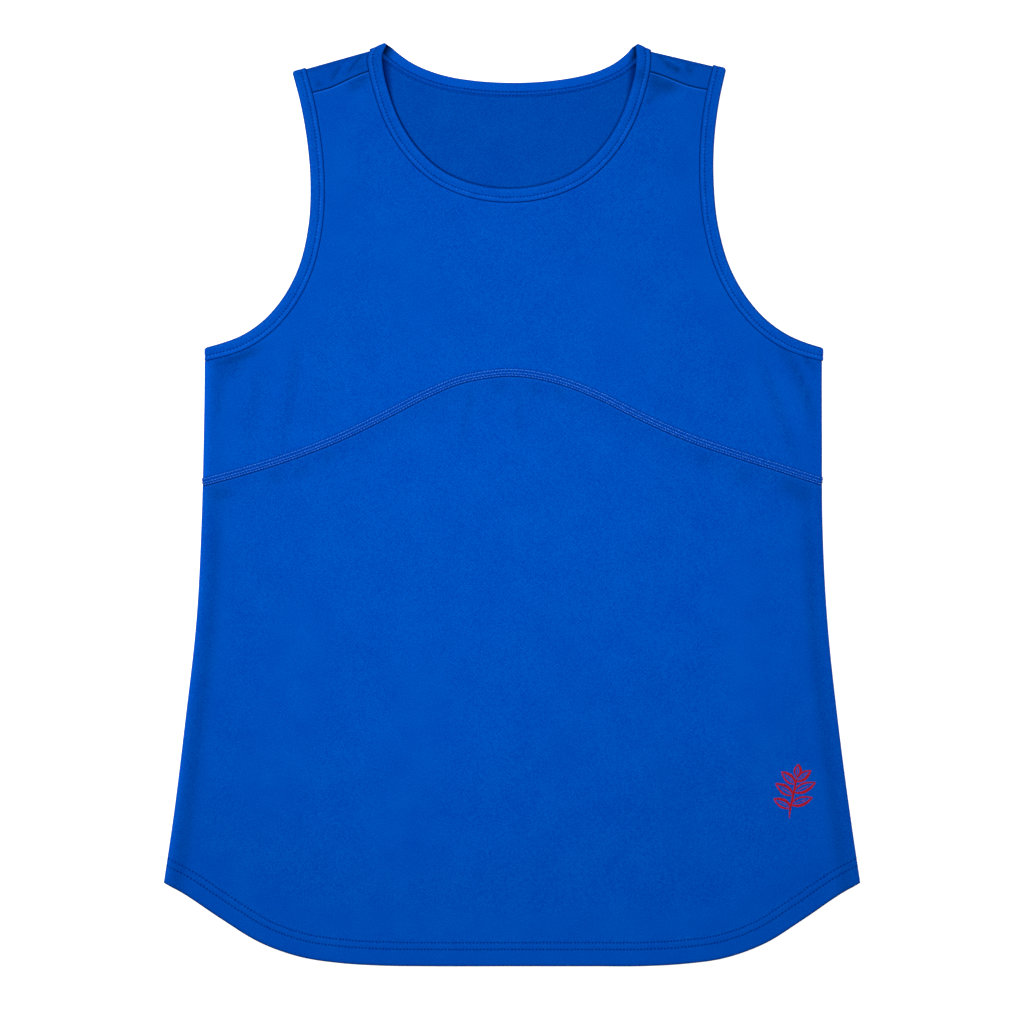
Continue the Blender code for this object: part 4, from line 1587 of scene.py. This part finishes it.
def node(tree: bpy.types.NodeTree, kind: str, inputs: dict | None = None,
         **settings: object) -> bpy.types.Node:
    """Add a node to a tree.

    Args:
        tree: the material's tree.
        kind: the node's type, without its "ShaderNode".
        inputs: value or output socket for each input, by name or number.
        settings: attributes of the node.

    Returns:
        The node.
    """
    made = tree.nodes.new("ShaderNode" + kind)
    for name, value in settings.items():
        setattr(made, name, value)
    for name, value in (inputs or {}).items():
        if isinstance(value, Socket):
            tree.links.new(value, made.inputs[name])
        else:
            made.inputs[name].default_value = value
    return made


class Graph:
    """A new material with its node tree, its shader and a few nodes that finishes share."""

    def __init__(self, name: str) -> None:
        """Start a material that shows its Principled shader."""
        self.material = bpy.data.materials.new(name)
        self.material.use_nodes = True
        self.tree = self.material.node_tree
        self.tree.nodes.clear()
        self.shader = node(self.tree, "BsdfPrincipled")
        node(self.tree, "OutputMaterial", {"Surface": self.shader.outputs[0]})
        self.place = node(self.tree, "TexCoord").outputs["Object"]

    def pair(self, vector: Socket) -> tuple[Socket, Socket]:
        """First two parts of a vector."""
        return tuple(node(self.tree, "SeparateXYZ", {0: vector}).outputs[:2])

    def uv(self, name: str) -> tuple[Socket, Socket]:
        """Both coordinates of one of the piece's UV maps."""
        return self.pair(node(self.tree, "UVMap", uv_map=name).outputs[0])

    def noise(self, scale: float, detail: float, **inputs: float) -> Socket:
        """Noise over the piece in its own place."""
        values = {"Vector": self.place, "Scale": scale, "Detail": detail, **inputs}
        return node(self.tree, "TexNoise", values).outputs[0]

    def math(self, operation: str, *values: Socket | float, clamp: bool = False) -> Socket:
        """Result of an operation on up to three values."""
        return node(self.tree, "Math", dict(enumerate(values)), operation=operation,
                    use_clamp=clamp).outputs[0]

    def ramp(self, value: Socket, low: float, high: float, start: float, end: float,
             kind: str = "LINEAR") -> Socket:
        """A value taken from the range low to high to the range start to end, and held there."""
        values = dict(enumerate((value, low, high, start, end)))
        return node(self.tree, "MapRange", values, interpolation_type=kind).outputs[0]

    def mix(self, share: Socket | float, first: Socket | tuple, second: Socket | tuple,
            blend: str = "MIX") -> Socket:
        """Two colours mixed, with this share of the second."""
        return node(self.tree, "Mix", {0: share, 6: first, 7: second}, data_type="RGBA",
                    blend_type=blend).outputs[2]

    def fall(self, value: Socket, row: float, reach: float, depth: float) -> Socket:
        """Mask that falls smoothly from the depth, at the row, to nothing at the reach from it."""
        off = self.math("ABSOLUTE", self.math("SUBTRACT", value, row))
        return self.ramp(off, PLATEAU * reach, reach, depth, 0.0, "SMOOTHSTEP")

    def spot(self, along: Socket, across: Socket, row: float, reach: float, depth: float) -> Socket:
        """Mask of a round spot on a row: the same fall over the root of the sum of the squares.

        Args:
            along: distance from the spot's middle along the row.
            across: place across the row.
            row: the row's own place.
            reach: radius of the spot.
            depth: the mask's value in its middle.

        Returns:
            The mask.
        """
        off = self.math("ABSOLUTE", self.math("SUBTRACT", across, row))
        both = node(self.tree, "CombineXYZ", {0: along, 1: off}).outputs[0]
        far = node(self.tree, "VectorMath", {0: both}, operation="LENGTH").outputs["Value"]
        return self.ramp(far, PLATEAU * reach, reach, depth, 0.0, "SMOOTHSTEP")

    def finish(self, colour: Socket, height: Socket, strength: float, depth: float,
               **surface: float | tuple) -> bpy.types.Material:
        """Give the shader its colour, its bumps and the rest of its surface.

        Args:
            colour: base colour.
            height: of the bumps, from 0 to 1.
            strength: of the bumps.
            depth: of the bumps, in metres.
            surface: values of its other inputs.

        Returns:
            The material.
        """
        bump = node(self.tree, "Bump", {"Strength": strength, "Distance": depth, "Height": height})
        self.tree.links.new(colour, self.shader.inputs["Base Color"])
        self.tree.links.new(bump.outputs[0], self.shader.inputs["Normal"])
        return self.surface(**surface)

    def surface(self, **values: float | tuple) -> bpy.types.Material:
        """Set inputs of the shader, each by its name with _ for a space."""
        for name, value in values.items():
            self.shader.inputs[name.replace("_", " ")].default_value = value
        return self.material


@dataclass(frozen=True)
class Interlock:
    """Polyester and elastane interlock, weft-knitted and piece-dyed royal blue.

    The face is matt and even, with a fine salt-and-pepper of loops, a faint slant to one side and soft
    clouds where the dye took a little more or less. The real loops are 0.7 mm apart. They are drawn at
    twice that, because closer ones don't show.

    Rows of painted shade and painted highlight lie across the stitch coordinates. Their places, reaches
    and sizes are in millimetres, and a painted line's or a shade's depth is below zero for a painted
    highlight, as on a ridge.
    """

    name: str
    face: str = "#0050B1"
    shade: str = "#003CA2"
    deep: str = "#001E66"  # painted shade colour: in the needle holes, along the painted lines and in the shades
    lit: str = "#1668DC"  # painted highlight colour: on ridges, lips and glints
    needle_rows: tuple[float, ...] = ()
    hole_size: float = 0.9
    painted_lines: tuple[tuple[float, float, float], ...] = ()  # painted shade lines, or painted highlights below zero: place, reach and depth
    shades: tuple[tuple[float, float, float], ...] = ()  # the same, with a strength in the map: painted shadows, or painted highlights below zero
    painted_thread_glints: tuple[tuple[float, float, float], ...] = ()  # place, reach and strength of the painted glints on the thread
    loop_pitch: float = 1.46 * MM
    cloud: float = 1 / 34  # width of a patch that took more dye, 29 mm
    grain: float = 1 / 1700  # width of a speck, 0.6 mm, a little less than a real loop
    speckle: float = 0.75
    hole_along: float = 0.8  # by which lengths along a row count, beside those across
    glint_along: float = 0.6
    swing: float = 0.13  # swings of the thread's tension to a stitch

    def masks(self, graph: Graph) -> list[tuple[Socket, str]]:
        """Masks of the painted shades and highlights, painted lines, needle holes and glints, with the
        colour of each.

        A needle hole of painted shade lies at each whole number of stitches on a needle row. A glint is a
        painted highlight where the thread stands proud, halfway between two holes. Where the thread's
        tension drops, the holes are fainter and the glints brighter.

        Args:
            graph: the material's.

        Returns:
            Each mask with a hex colour.
        """
        distance, strength = graph.uv("shade")
        along, across = graph.uv("stitch")
        made = []
        for row, reach, depth in self.shades:
            mask = graph.fall(distance, row, reach, abs(depth))
            made.append((graph.math("MULTIPLY", mask, strength), self.deep if depth > 0 else self.lit))
        for row, reach, depth in self.painted_lines:
            mask = graph.fall(across, row, reach, abs(depth))
            made.append((mask, self.deep if depth > 0 else self.lit))
        part = graph.math("FRACT", along)
        near = graph.math("MINIMUM", part, graph.math("SUBTRACT", 1.0, part))
        midway = graph.math("SUBTRACT", 0.5, near)
        near = graph.math("MULTIPLY", near, self.hole_along * STITCH / MM)
        midway = graph.math("MULTIPLY", midway, self.glint_along * STITCH / MM)
        drift = {"W": along, "Scale": self.swing, "Detail": 3.0, "Roughness": 0.75}
        tension = node(graph.tree, "TexNoise", drift, noise_dimensions="1D").outputs[0]
        for row in self.needle_rows:
            mask = graph.spot(near, across, row, self.hole_size, 1.0)
            if self.painted_thread_glints:
                mask = graph.math("MULTIPLY", mask, graph.ramp(tension, 0.42, 0.58, 1.0, 0.6))
            made.append((mask, self.deep))
        for glint in self.painted_thread_glints:
            proud = graph.ramp(tension, 0.42, 0.60, 0.0, 1.0)
            made.append((graph.math("MULTIPLY", graph.spot(midway, across, *glint), proud), self.lit))
        return made

    def material(self) -> bpy.types.Material:
        """Build the cloth's nodes.

        The loops are a sine across times a sine along, less a cosine of both that slants.
        """
        graph = Graph(self.name)
        clouds = graph.ramp(graph.noise(1 / self.cloud, 6.0, Roughness=0.6), 0.25, 0.75, -0.26, 0.26)
        grain = graph.ramp(graph.noise(1 / self.grain, 0.0), 0.25, 0.75, -self.speckle, self.speckle)
        x, y = (graph.math("MULTIPLY", way, np.pi / self.loop_pitch) for way in graph.pair(graph.place))
        loops = graph.math("MULTIPLY", graph.math("SINE", x), graph.math("SINE", y))
        twill = graph.math("COSINE", graph.math("ADD", x, y))
        loops = graph.math("MULTIPLY_ADD", twill, -0.9, loops)
        loops = graph.math("MULTIPLY_ADD", loops, 0.08, 0.5)
        blend = graph.math("ADD", graph.math("ADD", clouds, grain), loops, clamp=True)
        colour = graph.mix(blend, linear(self.shade), linear(self.face))
        # painted light and shade of the piece, multiplied into the cloth's colour
        tone = node(graph.tree, "Attribute", attribute_name="tone").outputs["Color"]
        colour = graph.mix(1.0, colour, tone, "MULTIPLY")
        # painted shade, painted highlights, needle holes of painted shade and glints
        for mask, tint in self.masks(graph):
            colour = graph.mix(mask, colour, linear(tint))
        return graph.finish(colour, blend, 0.35, 0.12 * MM, Roughness=0.85, Specular_IOR_Level=0.12,
                            Specular_Tint=linear("#0050FF"), Sheen_Weight=0.08,
                            Sheen_Roughness=0.5, Sheen_Tint=linear("#0040E0"))


@dataclass(frozen=True)
class SewingThread:
    """Textured polyester sewing thread, twisted from crimped yarn: soft, with a faint lustre."""

    name: str
    colour: str
    shade: str
    twist: float = 0.9 * MM  # length of one turn of the twist, drawn coarse enough to show

    def material(self) -> bpy.types.Material:
        """Build the thread's nodes: slanting bands of two shades."""
        graph = Graph(self.name)
        waves = {"Vector": graph.place, "Scale": 0.5 / self.twist / np.pi, "Distortion": 3.0,
                 "Detail": 1.0}
        twist = node(graph.tree, "TexWave", waves, bands_direction="DIAGONAL").outputs["Fac"]
        colour = graph.mix(twist, linear(self.shade), linear(self.colour))
        return graph.finish(colour, twist, 0.3, 0.05 * MM, Roughness=0.7, Specular_IOR_Level=0.1,
                            Specular_Tint=linear("#0050FF"))


@dataclass(frozen=True)
class TransferPrint:
    """Heat-transfer print, pressed into the knit: satin, a little worn where the loops show."""

    name: str
    colour: str
    worn: str
    speck: float = 1 / 700  # width of a worn speck, 1.4 mm, as wide as a loop is drawn

    def material(self) -> bpy.types.Material:
        """Build the print's nodes: the ink with worn specks a loop wide."""
        graph = Graph(self.name)
        specks = graph.noise(1 / self.speck, 2.0)
        wear = graph.ramp(specks, 0.42, 0.70, 0.0, 1.0)
        colour = graph.mix(wear, linear(self.colour), linear(self.worn))
        return graph.finish(colour, specks, 0.2, 0.05 * MM, Roughness=0.6, Specular_IOR_Level=0.1)


@dataclass(frozen=True)
class Backdrop:
    """Opal acrylic table, matt and softly lit from below, so that shadows on it are faint."""

    name: str = "opal_acrylic_table"
    colour: str = "#F4F4F4"
    glow: float = 0.8

    def material(self) -> bpy.types.Material:
        """Build the table's nodes: a plain matt white with a glow."""
        return Graph(self.name).surface(
            Base_Color=linear(self.colour), Roughness=0.9, Specular_IOR_Level=0.0,
            Emission_Color=linear("#FFFFFF"), Emission_Strength=self.glow,
        )


def add_object(name: str, data: bpy.types.ID) -> bpy.types.Object:
    """Add an object with its data to the scene."""
    made = bpy.data.objects.new(name, data)
    bpy.context.scene.collection.objects.link(made)
    return made


def add_mesh(name: str, points: Array, faces: list[list[int]],
             material: bpy.types.Material) -> bpy.types.Object:
    """Add a smooth-shaded mesh object to the scene.

    Args:
        name: of the piece.
        points: in space.
        faces: of point numbers.
        material: its finish.

    Returns:
        The object.
    """
    mesh = bpy.data.meshes.new(name)
    mesh.from_pydata(points.tolist(), [], faces)
    mesh.materials.append(material)
    mesh.shade_smooth()
    LOG.info("%s: %d points, %d faces", name, len(points), len(faces))
    return add_object(name, mesh)


def add_cloth(name: str, points: Array, quads: Array, tone: Array, maps: Array,
              finish: Interlock) -> bpy.types.Object:
    """Add a piece of cloth with its painted light and shade and its coordinates for stitches and shades.

    Args:
        name: of the piece.
        points: in space.
        quads: of point numbers.
        tone: painted light and shade at each point.
        maps: coordinates at each point, or at each quad's corners: two for the stitches and, where
            there are shades, two more.
        finish: its cloth.

    Returns:
        The object.
    """
    made = add_mesh(name, points, quads.tolist(), finish.material())
    mesh = made.data
    # painted light and shade at each point, which the material multiplies into its colour
    mesh.attributes.new("tone", "FLOAT", "POINT").data.foreach_set("value", tone.astype(np.float32))
    corners = maps if maps.ndim == 3 else maps[quads]
    for number, kind in enumerate(("stitch", "shade")[:corners.shape[-1] // 2]):
        layer = mesh.uv_layers.new(name=kind)
        pairs = corners[..., 2 * number:2 * number + 2]
        layer.data.foreach_set("uv", pairs.reshape(-1).astype(np.float32))
    return made


def dress(piece: bpy.types.Object) -> bpy.types.Object:
    """Make a piece ride on the garment's one body."""
    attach(piece, "root")
    return piece


def sew(name: str, strands: Strands, material: bpy.types.Material) -> bpy.types.Object:
    """Add gathered threads as one piece."""
    return dress(add_mesh(name, np.vstack(strands.points), strands.faces, material))


@dataclass
class TankTop:
    """The whole garment: its panels, bindings, sewing and print."""

    hem_rows: tuple[float, ...] = tuple(row / MM for row in HEM_ROWS)
    # painted shade lines along the hem's needle rows
    hem_painted_lines: tuple = tuple((row / MM, 1.0, 0.16) for row in HEM_ROWS)
    # x, y, reach and depth of spots of painted shade on the neck binding, beside the forward shoulder
    # seams
    painted_neck_shadows: tuple = ((94.0, 313.5, 6.0, 0.26), (-100.5, 323.0, 8.0, 0.11))
    neck_length: float = 0.526
    armhole_length: float = 0.492
    binding_width: float = 0.0115  # with the turn round its edges
    blue: bpy.types.Material = field(init=False)
    pale: bpy.types.Material = field(init=False)

    def __post_init__(self) -> None:
        """Make the threads' materials."""
        self.blue = SewingThread("polyester_thread_royal_blue", "#0049B4", "#003C9C").material()
        self.pale = SewingThread("polyester_thread_pale_blue", "#4183DA", "#2364C0").material()

    def build(self) -> None:
        """Build every piece."""
        hem = sew("hem_topstitch", HemStitching().strands(), self.blue)
        stitched = {"needle_rows": self.hem_rows, "painted_lines": self.hem_painted_lines}
        # the back: painted shadow of the front's neck binding on its inner face
        self.panel("back", Back(), stitched | {"shades": ((0.0, 1.0, 1.0),)},
                   flat=(0.509, 0.690), area=0.268)
        # the front body: a painted highlight lip below the flatlock band
        self.panel("front_body", FrontBody(), stitched | {"shades": ((5.1, 0.9, -0.15),)},
                   flat=(0.509, 0.435), area=0.182, rests_on=["back_cloth"], with_pieces=[hem])
        # the yoke: a painted highlight lip below the forward seam, and painted shade in the seam
        self.panel("front_yoke", FrontYoke(), {"shades": ((1.05, 0.7, -0.52), (0.0, 0.65, 0.55))},
                   flat=(0.453, 0.299), area=0.0685, rests_on=["back_cloth"])
        self.flatlock()
        self.bindings()
        ink = TransferPrint("transfer_print_red", "#AE0412", "#600A28").material()
        sew("sprig_print", SprigPrint().strands(), ink)

    @staticmethod
    def panel(cad_node: str, panel: Panel, finish: dict, **cut: object) -> None:
        """Add a panel that stands for its CAD node, which it hides.

        Args:
            cad_node: the node.
            panel: its form.
            finish: settings of its interlock.
            cut: sizes of its cut, what it rests on and what is sewn to it; not used.
        """
        cloth = Interlock(f"interlock_{cad_node}", **finish)
        made = dress(add_cloth(f"{cad_node}_cloth", *panel.sheet().shell(), cloth))
        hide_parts(cad_node)

    def flatlock(self) -> None:
        """Add the curved seam's band and its threads."""
        seam = FlatlockSeam()
        # painted shade lines at the band's lower edge and along its needle rows, and needle holes of
        # painted shade
        finish = Interlock("interlock_seam_band", face="#004AB0", shade="#003DA3",
                           needle_rows=(-2.45, -0.4), hole_size=0.65,
                           painted_lines=((-4.35, 1.1, 0.92), (-2.45, 0.5, 0.12), (-0.4, 0.55, 0.05),
                                    (1.85, 0.6, 0.3)))
        dress(add_cloth("flatlock_band", *seam.band().shell(0.15), finish))
        crossing, chains = seam.strands()
        sew("flatlock_crossing_threads", crossing, self.blue)
        sew("flatlock_chain_threads", chains, self.pale)

    def bindings(self) -> None:
        """Add the three bindings and their stitching."""
        left, right = HALVES
        ends = (Side.RIGHT, Side.LEFT)
        neck = BindingBand(right.neck.after(left.neck), left.back_neck.after(right.back_neck), ends)
        self.binding("neck_binding", neck, self.neck_length)
        for half in HALVES:
            band = BindingBand(half.armhole, half.armhole.backwards(), (half.side, half.side))
            self.binding(f"armhole_binding_{half.side.name.lower()}", band, self.armhole_length)

    def binding(self, name: str, band: BindingBand, length: float) -> None:
        """Add a binding and its stitching.

        Args:
            name: of its CAD node.
            band: its form.
            length: of its strip; not used.
        """
        neck = name == "neck_binding"
        rows = (band.needle_row / MM,)
        # painted shade at the needle row, the seam edge and the free edge; painted highlights at 2 and
        # 8.3 mm
        painted_lines = ((rows[0], 1.1, 0.12), (10.6, 1.4, 1.0), (0.0, 0.9, 0.45 if neck else 0.62),
                   (2.0, 1.5, -0.08), (8.3, 1.3, -0.1))
        if neck:
            behind = tuple(-row / MM for row in band.inside_rows)
            rows += behind
            # behind the neck: painted shade at the inner needle rows and the seam edge, a painted
            # highlight at 8 mm
            painted_lines += (*((row, 0.9, 0.3) for row in behind), (-9.95, 0.8, 0.4), (-8.0, 0.8, -0.25))
        # needle holes of painted shade, and painted glints on the thread between them
        finish = Interlock(f"interlock_{name}", needle_rows=rows, painted_lines=painted_lines,
                           painted_thread_glints=((7.45, 0.85, 0.55),))
        points, quads, stitch = band.mesh()
        tone = np.ones(len(points))
        # painted shade along the right armhole's free edge, on the side away from the light
        if name.endswith("right"):
            tone -= 0.22 * bell(distance_to_line(points, HALVES[1].armhole.free), 1.3 * MM)
        if neck:
            tone = self.painted_neck_shading(band, points)
        piece = dress(add_cloth(f"{name}_cloth", points, quads, tone, stitch, finish))
        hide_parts(name)
        sewn = sew(f"{name}_topstitch", band.stitching(neck), self.blue)

    def painted_neck_shading(self, band: BindingBand, points: Array) -> Array:
        """Painted shade of the neck binding: painted shadow behind the front, and painted spots beside
        its seams.

        Args:
            band: the neck binding.
            points: of its mesh.

        Returns:
            A shade for each point.
        """
        gap, strength = neck_shade(points).T
        fall = 1 - smooth((np.abs(gap) - PLATEAU) / (1 - PLATEAU))
        below = points[:, 2] < FOLDED + 0.1 * MM
        behind = below & band.inner_face()
        # painted shadow of the front on the inner face behind it, over a little painted light
        tone = (1 + 0.10 * behind) * (1 - 0.95 * strength * fall * behind)
        # spots of painted shade beside the forward shoulder seams
        for x, y, reach, depth in self.painted_neck_shadows:
            off = np.hypot(points[:, 0] - x * MM, points[:, 1] - y * MM)
            tone -= depth * bell(off, reach * MM) * ~below
        return tone


@dataclass(frozen=True)
class Studio:
    """A white floor, soft light from above and a camera that looks straight down."""

    middle: tuple[float, float] = (0.0, -5.3 * MM)
    view: float = 747.5 * MM  # width of the floor that the camera sees
    distance: float = 2.6
    floor: float = 80.0  # half the floor's width
    sky: float = 0.27
    # name, power, place and size of each lamp: one from the upper left, one low over the chest
    lamps: tuple = (("key", 19.7, (-0.80, 0.70, 1.55), 1.0), ("pool", 2.62, (0.0, 0.0, 0.55), 0.6))

    def build(self) -> None:
        """Add the floor, the light and the camera."""
        scene = bpy.context.scene
        corners = np.array(((-1, -1, 0), (1, -1, 0), (1, 1, 0), (-1, 1, 0)), float) * self.floor
        corners[:, 2] = CAD_BOX[0][2] - 0.1 * MM
        add_mesh("floor", corners, [[0, 1, 2, 3]], Backdrop().material())
        for name, power, spot, size in self.lamps:
            lamp = bpy.data.lights.new(name, "AREA")
            lamp.energy, lamp.size = power, size
            made = add_object(name, lamp)
            made.location = spot
            made.rotation_euler = (-Vector(spot)).to_track_quat("-Z", "Y").to_euler()
            made.visible_camera = False
        world = bpy.data.worlds.new("soft_sky")
        world.use_nodes = True
        back = world.node_tree.nodes["Background"]
        back.inputs[0].default_value = (1.0, 1.0, 1.0, 1.0)
        back.inputs[1].default_value = self.sky
        scene.world = world
        lens = bpy.data.cameras.new("camera")
        lens.type = "PERSP"
        lens.lens = lens.sensor_width * self.distance / self.view
        lens.clip_end = self.floor * 1.25
        scene.camera = add_object("camera", lens)
        scene.camera.location = (*self.middle, self.distance)
        scene.view_settings.view_transform = "Standard"


def main() -> None:
    """Build the garment and its studio."""
    logging.basicConfig(level=logging.INFO, format="%(message)s")
    TankTop().build()
    Studio().build()


if __name__ == "__main__":
    main()
